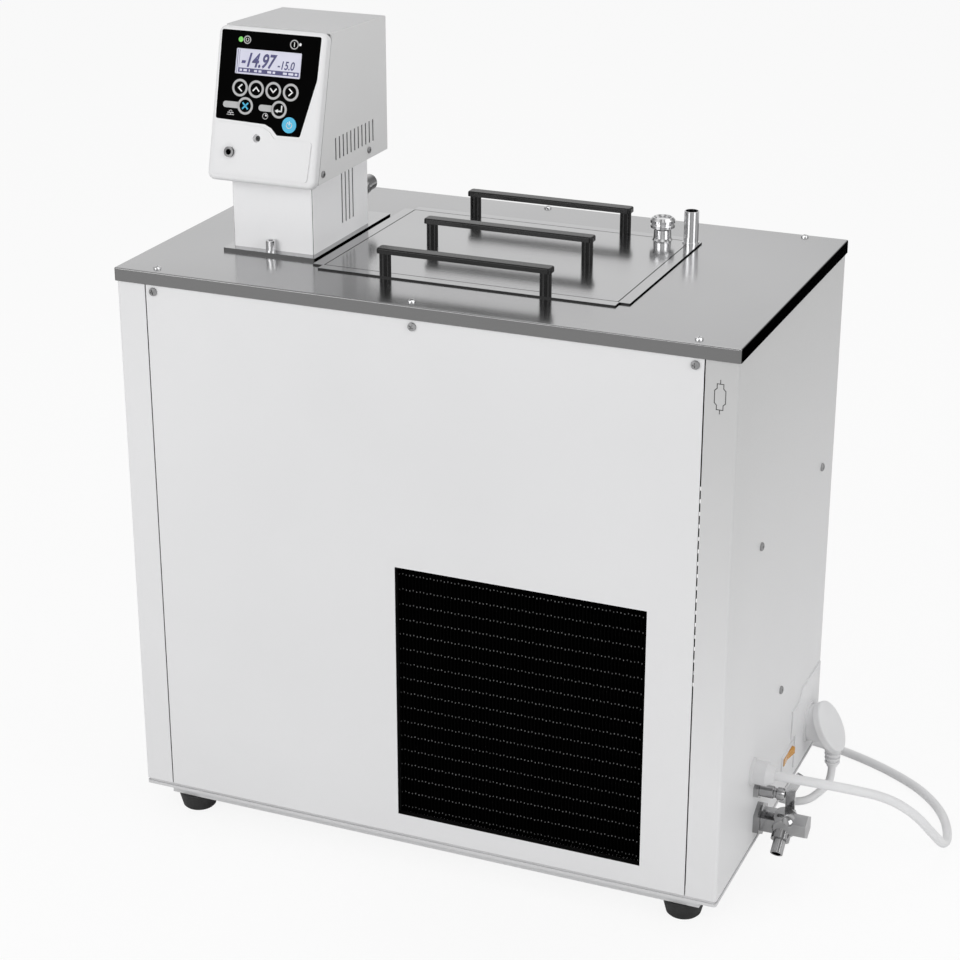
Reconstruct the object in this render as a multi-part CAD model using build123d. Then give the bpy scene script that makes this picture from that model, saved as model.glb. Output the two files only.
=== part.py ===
from build123d import *
import math
import os

# A refrigerated circulating bath. Millimetres, +Z up, the long front faces -Y.
# The floor is Z 0, and the origin is the middle of the object's box on the floor.

# Cabinet
deck_w = 600.0
deck_d = 350.0
deck_z = 572.0
sheet = 1.5
skirt_h = 12.5
panel_inset = 1.5
wrap = 29.5
seam = 1.2
fold_r = 3.0
screw_r = 1.9
screw_head_h = 2.4
seat_gap = 0.2

# Base
rim_z = 32.0
tray_t = 3.0
rim_gap = 3.0
tray_flange_h = 12.0
rail_w = 34.0
rail_h = 14.0
rail_sheet = 2.0
foot_r = 20.0
foot_tip_r = 16.5
foot_inset_x = 42.0
foot_inset_y = 34.0
post_w = 18.0
rail_leg = 26.0
post_t = 2.0

# Window in the front and the condenser behind it
window_left = 279.6
window_right = 76.0
window_top = 253.6
window_z = 59.0
window_lip = 7.0
fin_pitch = 3.5
fin_t = 0.35
fin_depth = 40.0
fin_gap = 5.0
fin_margin = 6.0
tube_pitch = 15.3
tube_r = 3.6
tube_overhang = 7.0

# Bath
bath_left = 62.0
bath_right = 127.0
bath_front = 77.0
bath_back = 62.0
bath_depth = 200.0
bath_corner = 10.0
foam_t = 24.0
coil_r = 5.0
coil_turns = 3
coil_pitch = 22.0
coil_gap = 5.0

# Lid
lid_left = 166.0
lid_right = 125.0
lid_front = 67.0
lid_back = 58.0
lid_notch = 10.0
lid_rim = 12.0
opening_rim = 13.0
handle_l = 169.0
handle_w = 13.0
handle_t = 5.0
handle_gap = 20.5
post_r = 5.4
handle_inset = 6.5

# Head
head_x = 115.0
flange_w = 96.0
flange_l = 167.0
flange_t = 3.0
flange_front = 87.0
column_w = 84.0
column_l = 120.0
column_front = 97.0
column_h = 70.0
cover_w = 108.0
cover_front = 74.0
cover_back = 236.0
cover_h = 134.0
cover_drop = 5.0
lean = 36.0
cover_t = 2.0
bezel_t = 12.0

# Fittings on the right-hand side, measured from the front and above the floor
gland_y = 105.0
gland_z = 121.0
nipple_y = 118.7
nipple_z = 95.0
valve_y = 130.0
valve_z = 58.0
switch_y = 229.0
switch_z = 74.0
socket_y = 304.0
socket_z = 76.0
socket_r = 21.0
socket_depth = 17.0
mains_d = 9.0
head_cord_d = 8.0

# Valve sizes, which set how far the object stands out of its side
valve_nut_af = 30.0
valve_nut_t = 6.0
valve_body_l = 44.0
valve_reach = valve_nut_t + valve_body_l
outlet_r = 6.0
outlet_bore_r = 4.5
outlet_l = 32.0
outlet_angle = 40.0
stem_r = 3.0
run_gap = 0.05

# Places worked out from the sizes above
left_reach = screw_head_h - panel_inset
cab_x = -(valve_reach - panel_inset - left_reach) / 2
x_left = cab_x - deck_w / 2
x_right = cab_x + deck_w / 2
y_front = -deck_d / 2
y_back = deck_d / 2
side_x = x_right - panel_inset
skin_l = x_left + panel_inset
skin_f = y_front + panel_inset
skin_b = y_back - panel_inset
tray_top = rim_z + tray_t
panel_z = tray_top + rim_gap
panel_top = deck_z - sheet
foot_h = rim_z - rail_h
lid_x0 = x_left + lid_left
lid_x1 = x_right - lid_right
lid_y0 = y_front + lid_front
lid_y1 = y_back - lid_back
lid_top = deck_z + sheet
bath_x0 = x_left + bath_left
bath_x1 = x_right - bath_right
bath_y0 = y_front + bath_front
bath_y1 = y_back - bath_back
bath_floor = deck_z - sheet - bath_depth
window_x0 = x_left + window_left
window_x1 = x_right - window_right
window_z1 = deck_z - window_top
hx = x_left + head_x
column_y0 = y_front + column_front
column_y1 = column_y0 + column_l
column_z0 = deck_z + flange_t
head_z = column_z0 + column_h
cover_y0 = y_front + cover_front
cover_y1 = y_front + cover_back
head_top = head_z + cover_h
tilt = math.atan2(lean, cover_h)
face_h = math.hypot(lean, cover_h)

os.makedirs("parts", exist_ok=True)


def save(name, shape):
    """Writes one sub-part, whose solids are listed when it has several."""
    solids = shape if isinstance(shape, list) else list(shape.solids())
    body = solids[0] if len(solids) == 1 else Compound(children=solids)
    export_step(body, f"parts/{name}.step")
    print(name, len(solids))


def block(x0, y0, z0, x1, y1, z1):
    """A block between its lowest and its highest corner."""
    return Pos((x0 + x1) / 2, (y0 + y1) / 2, (z0 + z1) / 2) * Box(x1 - x0, y1 - y0, z1 - z0)


def rod(start, end, r):
    """A round bar between two points."""
    a, b = Vector(start), Vector(end)
    return extrude(Plane(origin=a, z_dir=b - a) * Circle(r), (b - a).length)


def pipe(start, end, r, bore):
    """A round tube between two points."""
    a, b = Vector(*start), Vector(*end)
    ring = Plane(origin=a, z_dir=b - a) * (Circle(r) - Circle(bore))
    return extrude(ring, (b - a).length)


def upright(shape):
    """The vertical edges of a shape."""
    return shape.edges().filter_by(Axis.Z)


def frame_box(x0, y0, z0, x1, y1, z1, wall, r):
    """Four walls with rounded upright corners, open at the top and the bottom."""
    outer = block(x0, y0, z0, x1, y1, z1)
    outer = fillet(upright(outer), r)
    inner = block(x0 + wall, y0 + wall, z0 - 1, x1 - wall, y1 - wall, z1 + 1)
    inner = fillet(upright(inner), max(r - wall, 0.3))
    return outer - inner


def screw(head_at, direction, head_r, head_h, shank_r, shank_l):
    """A pan-head screw whose head stands on a surface and points along direction."""
    away = Vector(*direction)
    seat = Vector(*head_at)
    head = extrude(Plane(origin=seat, z_dir=away) * Circle(head_r), head_h)
    head = fillet(head.edges().sort_by(lambda e: (e.center() - seat).dot(away))[-1], head_h * 0.45)
    shank = extrude(Plane(origin=seat, z_dir=-away) * Circle(shank_r), shank_l)
    return head + shank


# Base

def base_tray():
    """The floor sheet with its folded flange and the two welded rails below it."""
    x0, x1 = skin_l + seat_gap, side_x - seat_gap
    y0, y1 = skin_f + seat_gap, skin_b - seat_gap
    tray = block(x0, y0, rim_z, x1, y1, tray_top)
    tray = fillet(upright(tray), fold_r)
    f = sheet + seat_gap
    flange = frame_box(skin_l + f, skin_f + f, tray_top, side_x - f, skin_b - f,
                       tray_top + tray_flange_h, sheet, fold_r)
    for y in (y_front + foot_inset_y, y_back - foot_inset_y):
        tray += rail(y)
    return tray + flange


def rail(y):
    """One open channel that carries two feet."""
    x0 = x_left + foot_inset_x - foot_r
    x1 = x_right - foot_inset_x + foot_r
    outer = block(x0, y - rail_w / 2, foot_h, x1, y + rail_w / 2, rim_z)
    inner = block(x0 - 1, y - rail_w / 2 + rail_sheet, foot_h + rail_sheet,
                  x1 + 1, y + rail_w / 2 - rail_sheet, rim_z)
    return outer - inner


def foot(x, y):
    """A tapered rubber foot with its fixing stud through the rail."""
    profile = Polyline((0, 0), (foot_tip_r - 1.5, 0), (foot_tip_r, 1.5), (foot_r, foot_h - 3),
                       (foot_r, foot_h), (screw_r, foot_h), (screw_r, foot_h + rail_sheet + 5),
                       (0, foot_h + rail_sheet + 5), close=True)
    return Pos(x, y, 0) * revolve(Plane.XZ * make_face(profile), Axis.Z)


def foot_holes(tray):
    """Opens the rails for the studs of the feet."""
    for x, y in foot_places():
        tray -= rod((x, y, foot_h - 1), (x, y, foot_h + rail_sheet + 1), screw_r + seat_gap)
    return tray


def foot_places():
    """The four feet: front left, front right, rear left, rear right."""
    xs = (x_left + foot_inset_x, x_right - foot_inset_x)
    ys = (y_front + foot_inset_y, y_back - foot_inset_y)
    return [(x, y) for y in ys for x in xs]


def chassis_frame():
    """Corner posts and top rails of angle section, welded into one frame."""
    f = 2 * sheet + 2 * seat_gap
    x0, x1 = skin_l + f, side_x - f
    y0, y1 = skin_f + f, skin_b - f
    z0, z1 = tray_top, panel_top
    solid = block(x0, y0, z0, x1, y1, z1)
    solid = fillet(upright(solid), 1.8)
    hollow = block(x0 + post_t, y0 + post_t, z0 - 1, x1 - post_t, y1 - post_t, z1 - post_t)
    middle = block(x0 + post_w, y0 + post_w, z0 - 1, x1 - post_w, y1 - post_w, z1 + 1)
    long_way = block(x0 - 1, y0 + post_w, z0 - 1, x1 + 1, y1 - post_w, z1 - rail_leg)
    cross_way = block(x0 + post_w, y0 - 1, z0 - 1, x1 - post_w, y1 + 1, z1 - rail_leg)
    return solid - hollow - middle - long_way - cross_way


# Outer panels

def side_panel(edge_x, inward):
    """A side sheet folded round onto the front and the back; inward is +1 on the left."""
    far = edge_x + inward * wrap
    x0, x1 = min(edge_x, far), max(edge_x, far)
    outer = block(x0, skin_f, panel_z, x1, skin_b, panel_top)
    outer = fillet(outer.edges().filter_by(Axis.Z).sort_by(lambda e: inward * e.center().X)[:2], fold_r)
    near = edge_x + inward * sheet
    past = far + inward * 1.0
    inner = block(min(near, past), skin_f + sheet, panel_z - 1, max(near, past), skin_b - sheet, panel_top + 1)
    inner = fillet(inner.edges().filter_by(Axis.Z).sort_by(lambda e: inward * e.center().X)[:2], fold_r - sheet)
    return outer - inner


def right_panel():
    """The right-hand side with the holes for its fittings."""
    panel = side_panel(side_x, -1)
    a, b = side_x - sheet - 1, side_x + 1
    for y, z, r in ((gland_y, gland_z, gland_r + seat_gap), (nipple_y, nipple_z, thread_r + seat_gap),
                    (valve_y, valve_z, valve_thread_r + seat_gap), (socket_y, socket_z, socket_r + seat_gap)):
        panel -= rod((a, y_front + y, z), (b, y_front + y, z), r)
    sy, sz = y_front + switch_y, switch_z
    panel -= block(a, sy - switch_cut_w / 2, sz - switch_cut_h / 2, b, sy + switch_cut_w / 2, sz + switch_cut_h / 2)
    for y, z in side_screw_places():
        panel -= rod((a, y, z), (b, y, z), screw_r + seat_gap)
    return panel


def left_panel():
    """The plain left-hand side."""
    panel = side_panel(skin_l, 1)
    for y, z in side_screw_places():
        panel -= rod((skin_l - 1, y, z), (skin_l + sheet + 1, y, z), screw_r + seat_gap)
    return panel


def front_x():
    """The two upright edges of the front and back panels, inside the folded sides."""
    return skin_l + wrap + seam, side_x - wrap - seam


def front_panel():
    """The front sheet with the window before the condenser, its edges folded inward."""
    x0, x1 = front_x()
    panel = block(x0, skin_f, panel_z, x1, skin_f + sheet, panel_top)
    lip = block(window_x0 - sheet, skin_f, window_z - sheet, window_x1 + sheet, skin_f + window_lip,
                window_z1 + sheet)
    hole = block(window_x0, skin_f - 1, window_z, window_x1, skin_f + window_lip + 1, window_z1)
    panel = panel + lip - hole
    for x, z in front_screw_places():
        panel -= rod((x, skin_f - 1, z), (x, skin_f + sheet + 1, z), screw_r + seat_gap)
    return panel


def back_panel():
    """The back sheet with a field of vent slots before the fan's outlet."""
    x0, x1 = front_x()
    panel = block(x0, skin_b - sheet, panel_z, x1, skin_b, panel_top)
    middle = (window_x0 + window_x1) / 2
    slots = [block(middle - vent_l / 2, skin_b - sheet - 1, z - vent_w / 2, middle + vent_l / 2, skin_b + 1,
                   z + vent_w / 2) for z in vent_rows()]
    panel -= slots
    for x, z in front_screw_places():
        panel -= rod((x, skin_b - sheet - 1, z), (x, skin_b + 1, z), screw_r + seat_gap)
    return panel


def vent_rows():
    """Heights of the vent slots, spread over the window's height."""
    count = int((window_z1 - window_z - vent_w) // vent_pitch)
    middle = (window_z + window_z1) / 2
    return [middle + (i - (count - 1) / 2) * vent_pitch for i in range(count)]


def front_screw_places():
    """Three screws under the deck's skirt, as X and Z."""
    z = deck_z - 19.0
    return [(x_left + 40.0, z), (cab_x, z), (x_right - 40.0, z)]


def side_screw_places():
    """The screws of a side sheet, as Y and Z."""
    upper = deck_z - 217.0
    return [(y_front + 96.0, upper), (y_back - 47.0, upper), (y_front + 192.0, deck_z - 407.0)]


def deck_screw_places():
    """Six screws along the deck's front and back edges, as X and Y."""
    return [(x, y) for y in (y_front + 12.5, y_back - 8.0) for x in (x_left + 39.0, cab_x - 5.0, x_right - 41.0)]


def top_deck():
    """The stainless deck: a folded sheet with openings for the bath and the head."""
    deck = block(x_left, y_front, deck_z - skirt_h, x_right, y_back, deck_z)
    deck = fillet(upright(deck), 2.0)
    deck = fillet(deck.faces().sort_by(Axis.Z)[-1].edges(), 1.4)
    inner = block(x_left + 1.2, y_front + 1.2, deck_z - skirt_h - 1, x_right - 1.2, y_back - 1.2, deck_z - sheet)
    deck -= inner
    hole = block(lid_x0 + opening_rim, lid_y0 + opening_rim, deck_z - sheet - 1,
                 lid_x1 - opening_rim, lid_y1 - opening_rim, deck_z + 1)
    deck -= fillet(upright(hole), 15.0)
    deck -= block(hx - head_hole_w / 2, head_hole_y0(), deck_z - sheet - 1,
                  hx + head_hole_w / 2, head_hole_y0() + head_hole_l, deck_z + 1)
    for x, r in ((stopper_x(), stopper_hole_r + 0.6), (tube_x(), lid_tube_r + 0.6)):
        deck -= rod((x, stopper_y(), deck_z - sheet - 1), (x, stopper_y(), deck_z + 1), r)
    for x, y in deck_screw_places():
        deck -= rod((x, y, deck_z - sheet - 1), (x, y, deck_z + 1), screw_r + seat_gap)
    for y in stud_places():
        deck += rod((hx, y, deck_z - sheet), (hx, y, deck_z + stud_h), stud_r)
    return deck


def head_hole_y0():
    """Front edge of the deck's opening below the head."""
    return column_y0 + 8.0


def stud_places():
    """The welded studs that hold the head's flange, before and behind the column."""
    flange_y0 = y_front + flange_front
    return [(flange_y0 + column_y0) / 2, flange_y0 + flange_l - 14.0]


# Fastener sizes and cut-outs shared by the functions above and below
gland_r = 8.0
thread_r = 6.5
valve_thread_r = 9.0
switch_cut_w = 36.0
switch_cut_h = 11.0
vent_l = 190.0
vent_w = 5.0
vent_pitch = 14.0
head_hole_w = 66.0
head_hole_l = 92.0
stud_r = 2.0
stud_h = 12.0


def screws_of_panels():
    """All the screws of the front, back and side sheets."""
    made = [screw((x, skin_f, z), (0, -1, 0), 4.0, screw_head_h, screw_r, sheet + 3) for x, z in front_screw_places()]
    made += [screw((x, skin_b, z), (0, 1, 0), 4.0, screw_head_h, screw_r, sheet + 3) for x, z in front_screw_places()]
    made += [screw((side_x, y, z), (1, 0, 0), 4.0, screw_head_h, screw_r, sheet + 3) for y, z in side_screw_places()]
    made += [screw((skin_l, y, z), (-1, 0, 0), 4.0, screw_head_h, screw_r, sheet + 3) for y, z in side_screw_places()]
    return made


def screws_of_deck():
    """The small bright screws of the deck."""
    return [screw((x, y, deck_z), (0, 0, 1), 3.6, 2.0, screw_r, sheet + 3) for x, y in deck_screw_places()]


# Bath

def bath_tub():
    """The deep-drawn tub that hangs below the deck."""
    z1 = deck_z - sheet
    outer = block(bath_x0, bath_y0, bath_floor, bath_x1, bath_y1, z1)
    outer = fillet(upright(outer), bath_corner)
    outer = fillet(outer.faces().sort_by(Axis.Z)[0].edges(), bath_corner * 0.6)
    inner = block(bath_x0 + sheet, bath_y0 + sheet, bath_floor + sheet, bath_x1 - sheet, bath_y1 - sheet, z1 + 1)
    inner = fillet(upright(inner), bath_corner - sheet)
    inner = fillet(inner.faces().sort_by(Axis.Z)[0].edges(), bath_corner * 0.6 - sheet)
    brim = block(bath_x0 - 12, bath_y0 - 12, z1 - sheet, bath_x1 + 12, bath_y1 + 12, z1)
    return outer + fillet(upright(brim), bath_corner + 12) - inner


def bath_insulation():
    """The foam moulded round the tub, below its brim."""
    g = seat_gap
    z1 = deck_z - 2 * sheet - g
    outer = block(bath_x0 - foam_t, bath_y0 - foam_t, bath_floor - foam_t, bath_x1 + foam_t, bath_y1 + foam_t, z1)
    inner = block(bath_x0 - g, bath_y0 - g, bath_floor - g, bath_x1 + g, bath_y1 + g, z1 + 1)
    inner = fillet(upright(inner), bath_corner)
    return outer - inner


def evaporator_coil():
    """The cooling coil: flat turns one below the other along the tub's wall."""
    off = sheet + coil_gap + coil_r
    x0, x1 = bath_x0 + off, bath_x1 - off
    y0, y1 = bath_y0 + off, bath_y1 - off
    top = deck_z - 60.0
    ym = (y0 + y1) / 2
    out = bath_x1 + 6
    points = [(out, ym - 30, top + 24), (x1, ym - 30, top + 24), (x1, ym - 30, top)]
    step = coil_pitch / 4
    z = top
    for _ in range(coil_turns):
        for x, y in ((x1, y1), (x0, y1), (x0, y0), (x1, y0)):
            z -= step
            points.append((x, y, z))
    points += [(x1, ym - 10, z - step), (out, ym - 10, z - step)]
    radii = [8.0, 8.0] + [coil_bend] * (len(points) - 5) + [8.0]
    path = FilletPolyline(*points, radius=radii)
    return sweep(Plane(origin=path @ 0, z_dir=path % 0) * Circle(coil_r), path=path)


coil_bend = 18.0


# Lid

def bath_lid():
    """The lid: a flat sheet with notched corners, a pressed crease and a locating rim."""
    lid = block(lid_x0, lid_y0, deck_z, lid_x1, lid_y1, lid_top)
    for x in (lid_x0, lid_x1):
        for y in (lid_y0, lid_y1):
            lid -= block(x - lid_notch, y - lid_notch, deck_z - 1, x + lid_notch, y + lid_notch, lid_top + 1)
    n = lid_notch + 0.8
    outer = block(lid_x0 + n, lid_y0 + n, lid_top - 0.5, lid_x1 - n, lid_y1 - n, lid_top + 1)
    inner = block(lid_x0 + n + 1, lid_y0 + n + 1, lid_top - 0.5, lid_x1 - n - 1, lid_y1 - n - 1, lid_top + 1)
    lid -= outer - inner
    r = opening_rim + 1.0
    lid += frame_box(lid_x0 + r, lid_y0 + r, deck_z - lid_rim, lid_x1 - r, lid_y1 - r, deck_z, sheet, 14.0)
    low = deck_z - lid_rim - 1
    lid -= rod((stopper_x(), stopper_y(), low), (stopper_x(), stopper_y(), lid_top + 1), stopper_hole_r)
    lid -= rod((tube_x(), stopper_y(), low), (tube_x(), stopper_y(), lid_top + 1), lid_tube_r + seat_gap)
    return lid


stopper_hole_r = 8.6
lid_tube_r = 7.0


def stopper_x():
    """Middle of the stopper and its hole near the lid's rear right corner."""
    return lid_x1 - 38.0


def stopper_y():
    """Line of the stopper and the open tube."""
    return lid_y1 - 14.5


def tube_x():
    """Middle of the open tube beside the stopper."""
    return lid_x1 - 9.5


def lid_handle(y):
    """A flat grip bar on two round posts, moulded as one piece."""
    xm = (lid_x0 + lid_x1) / 2 - 1.5
    z1 = lid_top + handle_gap
    bar = block(xm - handle_l / 2, y - handle_w / 2, z1, xm + handle_l / 2, y + handle_w / 2, z1 + handle_t)
    bar = fillet(upright(bar), 3.0)
    bar = fillet(bar.faces().sort_by(Axis.Z)[-1].edges(), 1.6)
    for x in (xm - handle_l / 2 + handle_inset, xm + handle_l / 2 - handle_inset):
        bar += rod((x, y, lid_top), (x, y, z1 + 1), post_r)
    return bar


def handle_lines():
    """Y of the three grips, front to back."""
    first, last = lid_y0 + 7.0, lid_y1 - 7.0
    return [first, (first + last) / 2, last]


def lid_stopper():
    """The turned stopper with its two-ring cap and hollow plug."""
    profile = Polyline((0, lid_top - 12), (7.8, lid_top - 12), (7.8, lid_top), (8.6 + 1.2, lid_top),
                       (8.6, lid_top + 2), (8.2, lid_top + 10), (11.6, lid_top + 12.2), (11.9, lid_top + 14.6),
                       (10.6, lid_top + 15.8), (11.9, lid_top + 17), (11.9, lid_top + 19.6), (9.4, lid_top + 22),
                       (8.4, lid_top + 22), (7.6, lid_top + 20.4), (0, lid_top + 20.4), close=True)
    return Pos(stopper_x(), stopper_y(), 0) * revolve(Plane.XZ * make_face(profile), Axis.Z)


def lid_tube():
    """The open tube that stands in the lid."""
    x, y = tube_x(), stopper_y()
    tube = pipe((x, y, lid_top - sheet), (x, y, lid_top + 31.0), lid_tube_r, lid_tube_r - 1.0)
    collar = pipe((x, y, lid_top), (x, y, lid_top + 1.0), lid_tube_r + 1.0, lid_tube_r - 0.5)
    return tube + collar


# Head

def head_flange():
    """The plate that carries the head over its opening in the deck."""
    y0 = y_front + flange_front
    plate = block(hx - flange_w / 2, y0, deck_z, hx + flange_w / 2, y0 + flange_l, deck_z + flange_t)
    plate = fillet(upright(plate), 1.5)
    for y in stud_places():
        plate -= rod((hx, y, deck_z - 1), (hx, y, deck_z + flange_t + 1), stud_r + 0.4)
    plate -= rod((hx, pump_y(), deck_z - 1), (hx, pump_y(), deck_z + flange_t + 1), shaft_r + 4.0)
    for x, y in heater_tails() + [probe_place()]:
        plate -= rod((x, y, deck_z - 1), (x, y, deck_z + flange_t + 1), tail_r + seat_gap)
    for x, y in pump_strut_places():
        plate -= rod((x, y, deck_z - 1), (x, y, deck_z + flange_t + 1), strut_r + seat_gap)
    return plate


def thumb_nuts():
    """Knurled nuts on the welded studs, cut with flats all round."""
    made = []
    for y in stud_places():
        z0 = deck_z + flange_t
        nut = extrude(Pos(hx, y, z0) * RegularPolygon(4.8, 16), 11.0)
        nut += rod((hx, y, z0), (hx, y, z0 + 2.0), 4.9)
        nut -= rod((hx, y, z0 - 1), (hx, y, z0 + 12), stud_r + 0.1)
        made.append(nut)
    return made


def head_column():
    """The white neck below the head, with the tray that closes the head from below."""
    x0, x1 = hx - column_w / 2, hx + column_w / 2
    neck = frame_box(x0, column_y0, column_z0, x1, column_y1, head_z, sheet, 3.0)
    c = cover_t + seat_gap
    front = cover_y0 + bezel_t + 6.0
    tray = block(hx - cover_w / 2 + c, front, head_z, hx + cover_w / 2 - c, cover_y1 - c, head_z + sheet)
    tray -= block(x0 + 10, column_y0 + 10, head_z - 1, x1 - 10, column_y1 - 10, head_z + sheet + 1)
    for side in (-1, 1):
        edge = hx + side * (cover_w / 2 - c)
        lip = block(min(edge, edge - side * sheet), front, head_z, max(edge, edge - side * sheet), cover_y1 - c,
                    head_z + 14)
        for y in head_screw_places():
            lip -= rod((edge - 5, y, head_z + 8.5), (edge + 5, y, head_z + 8.5), screw_r)
        tray += lip
    slots = []
    for i in range(4):
        y = column_y0 + 62.0 + i * 7.8
        slots.append(block(x0 - 1, y - 1.2, column_z0 + 14.5, x1 + 1, y + 1.2, column_z0 + 65.0))
    column = neck + tray - slots
    for x in fitting_places():
        z = column_z0 + union_h
        column -= rod((x, column_y1 - 5, z), (x, column_y1 + 5, z), union_r + seat_gap)
    return column


def head_screw_places():
    """Y of the screws that hold the cover to the tray's lips."""
    return [y_front + 96.0, y_front + 194.0]


def cover_profile(shrink):
    """The head's side view, inset by shrink all round."""
    s = shrink
    points = [(cover_y0 + s, head_z + s), (cover_y1 - s, head_z + s), (cover_y1 - s, head_top - cover_drop - s),
              (cover_y0 + lean + s, head_top - s)]
    return make_face(Polyline(*points, close=True))


def head_cover():
    """The grey folded cover of the head, open at the front and below."""
    half = cover_w / 2
    side = Plane(origin=(hx - half, 0, 0), x_dir=(0, 1, 0), z_dir=(1, 0, 0))
    outer = extrude(side * cover_profile(0), cover_w)
    outer = fillet(outer.edges().filter_by(Axis.X).sort_by(Axis.Z)[-2:], 2.5)
    core = Plane(origin=(hx - half + cover_t, 0, 0), x_dir=(0, 1, 0), z_dir=(1, 0, 0))
    inner = extrude(core * cover_profile(cover_t), cover_w - 2 * cover_t)
    cover = outer - inner
    cover -= block(hx - half + cover_t, cover_y0 - 1, head_z - 1, hx + half - cover_t, cover_y1 - cover_t, head_z + 20)
    cover -= Pos(0, 0, 0) * face_plane(bezel_t + 0.3) * Pos(cover_w / 2, face_h / 2, 30) * Box(200, 300, 60)
    slots = []
    for i in range(11):
        y = y_front + 124.0 + i * 8.0
        slots.append(block(hx - half - 1, y - 1.2, head_z + 15.0, hx + half + 1, y + 1.2, head_z + 36.0))
    cover -= slots
    for y in head_screw_places():
        cover -= rod((hx - half - 1, y, head_z + 8.5), (hx + half + 1, y, head_z + 8.5), screw_r + seat_gap)
    x, z = bush_x(), head_cord_z()
    return cover - rod((x, cover_y1 - 5, z), (x, cover_y1 + 5, z), bush_r + seat_gap)


def head_cord_z():
    """Height at which the head's supply cord enters its back."""
    return head_z + 24.0


def face_plane(depth):
    """The head's leaning face, or a plane this far behind it; its origin is the lower left corner."""
    n = Vector(0, -math.cos(tilt), math.sin(tilt))
    corner = Vector(hx - cover_w / 2, cover_y0, head_z) - n * depth
    return Plane(origin=corner, x_dir=(1, 0, 0), z_dir=n)


def head_bezel():
    """The moulded front of the head: rounded edges, a raised chin and seats for what it carries."""
    outline = Rectangle(cover_w + 2.0, face_h + 2.0)
    outline = fillet(outline.vertices(), 7.0)
    place = face_plane(bezel_t) * Pos(cover_w / 2, face_h / 2, 0)
    body = extrude(place * outline, bezel_t)
    body = fillet(body.faces().sort_by(lambda f: f.center().Y)[0].edges(), 3.5)
    body -= face_plane(film_t) * extrude(film_outline(), 5)
    body += extrude(face_plane(0.5) * chin_outline(), 0.5 + chin_h)
    back = face_plane(bezel_t + 1) * Pos(cover_w / 2, face_h / 2, 0)
    body -= extrude(back * Rectangle(cover_w - 12, face_h - 16), bezel_t - 2.5)
    body -= face_plane(-5) * Pos(*adjuster_at, 0) * Pos(0, 0, -20) * Cylinder(adjuster_r + run_gap, 40)
    body -= face_plane(0) * Pos(*adjuster_at, 0) * Cylinder(adjuster_r + 1.2, 3.4)
    body -= face_plane(0) * Pos(*socket_at, 0) * Cylinder(4.0 + seat_gap, 60)
    return body


film_t = 0.8
chin_h = 1.2
adjuster_at = (47.6, 40.1)
socket_at = (21.2, 25.4)
adjuster_r = 2.6


def film_outline():
    """The keypad's outline: it narrows to the right and steps down to the power key."""
    pts = [(3.2, 55.0), (54.2, 53.5), (61.0, 50.6), (67.3, 44.5), (90.6, 45.0), (103.2, 97.5), (104.0, 136.0),
           (2.6, 136.0)]
    face = make_face(Polyline(*pts, close=True))
    return fillet(face.vertices(), 2.0)


def chin_outline():
    """The raised part of the face below the keypad."""
    pts = [(6.0, 5.0), (102.0, 5.0), (103.5, 41.0), (65.0, 41.5), (59.5, 47.5), (53.0, 50.5), (4.5, 52.0)]
    face = make_face(Polyline(*pts, close=True))
    return fillet(face.vertices(), 2.5)


def display_outline():
    """The display's window in the keypad."""
    return Pos(52.3, 108.5) * RectangleRounded(66.6, 23.0, 1.0)


def keypad_film():
    """The printed keypad: one flexible film over the keys, open over the display."""
    film = extrude(face_plane(film_t) * film_outline(), film_t)
    return film - face_plane(film_t + 1) * extrude(display_outline(), 5)


def display_window():
    """The display behind its window."""
    shape = display_outline()
    return extrude(face_plane(film_t) * shape, 0.4)


def limit_adjuster():
    """The screw-slot adjuster of the temperature limiter, set back in the face."""
    stem = face_plane(2.6) * Pos(*adjuster_at, 0) * extrude(Circle(adjuster_r), -18)
    slot = face_plane(2.6) * Pos(*adjuster_at, 0) * Box(6, 0.9, 2.4)
    return stem - slot


def sensor_socket():
    """The round socket for an outside probe."""
    place = face_plane(0) * Pos(*socket_at, 0)
    ring = place * Pos(0, 0, chin_h) * extrude(Circle(4.8) - Circle(2.7), 2.4)
    barrel = place * Pos(0, 0, chin_h) * extrude(Circle(4.0) - Circle(2.7), -11 - chin_h)
    floor = place * Pos(0, 0, -11) * extrude(Circle(4.0), -2)
    return ring + barrel + floor


def screws_of_head():
    """Four small screws in the cover's sides."""
    made = []
    for side in (-1, 1):
        for y in head_screw_places():
            seat = (hx + side * cover_w / 2, y, head_z + 8.5)
            made.append(screw(seat, (side, 0, 0), 3.2, 1.8, screw_r, cover_t + 3))
    return made


bush_r = 6.5


def head_cord_bush():
    """The bush that holds the head's supply cord in the back of the cover."""
    z = head_cord_z()
    y = cover_y1
    x = bush_x()
    inside = rod((x, y - cover_t - 3, z), (x, y, z), bush_r)
    flange = rod((x, y, z), (x, y + 2.5, z), bush_r + 2.0)
    sleeve = extrude(Plane(origin=(x, y + 2.5, z), z_dir=(0, 1, 0)) * Circle(bush_r), 20, taper=5)
    return inside + flange + sleeve


bush_l = 22.5


def bush_x():
    """Middle of the cord's bush, off to the left of the neck."""
    return hx - 30.0


# Pump and heater below the head

shaft_r = 3.0
tail_r = 3.2
strut_r = 3.0
pump_drop = 128.0
motor_r = 30.0
impeller_r = 17.0
housing_r = 24.0


def pump_y():
    """Line of the pump's shaft."""
    return column_y0 + 50.0


def motor_z():
    """Underside of the pump's motor, in the head."""
    return head_z + sheet + 6.0


def pump_z():
    """Underside of the impeller, in the bath."""
    return deck_z - pump_drop


def pump_strut_places():
    """The two struts that carry the pump housing."""
    return [(hx - 18.0, pump_y()), (hx + 18.0, pump_y())]


def heater_tails():
    """Where the two ends of the heater go up through the flange."""
    return [(hx - 12.0, pump_y() + 30.0), (hx + 12.0, pump_y() + 30.0)]


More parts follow.
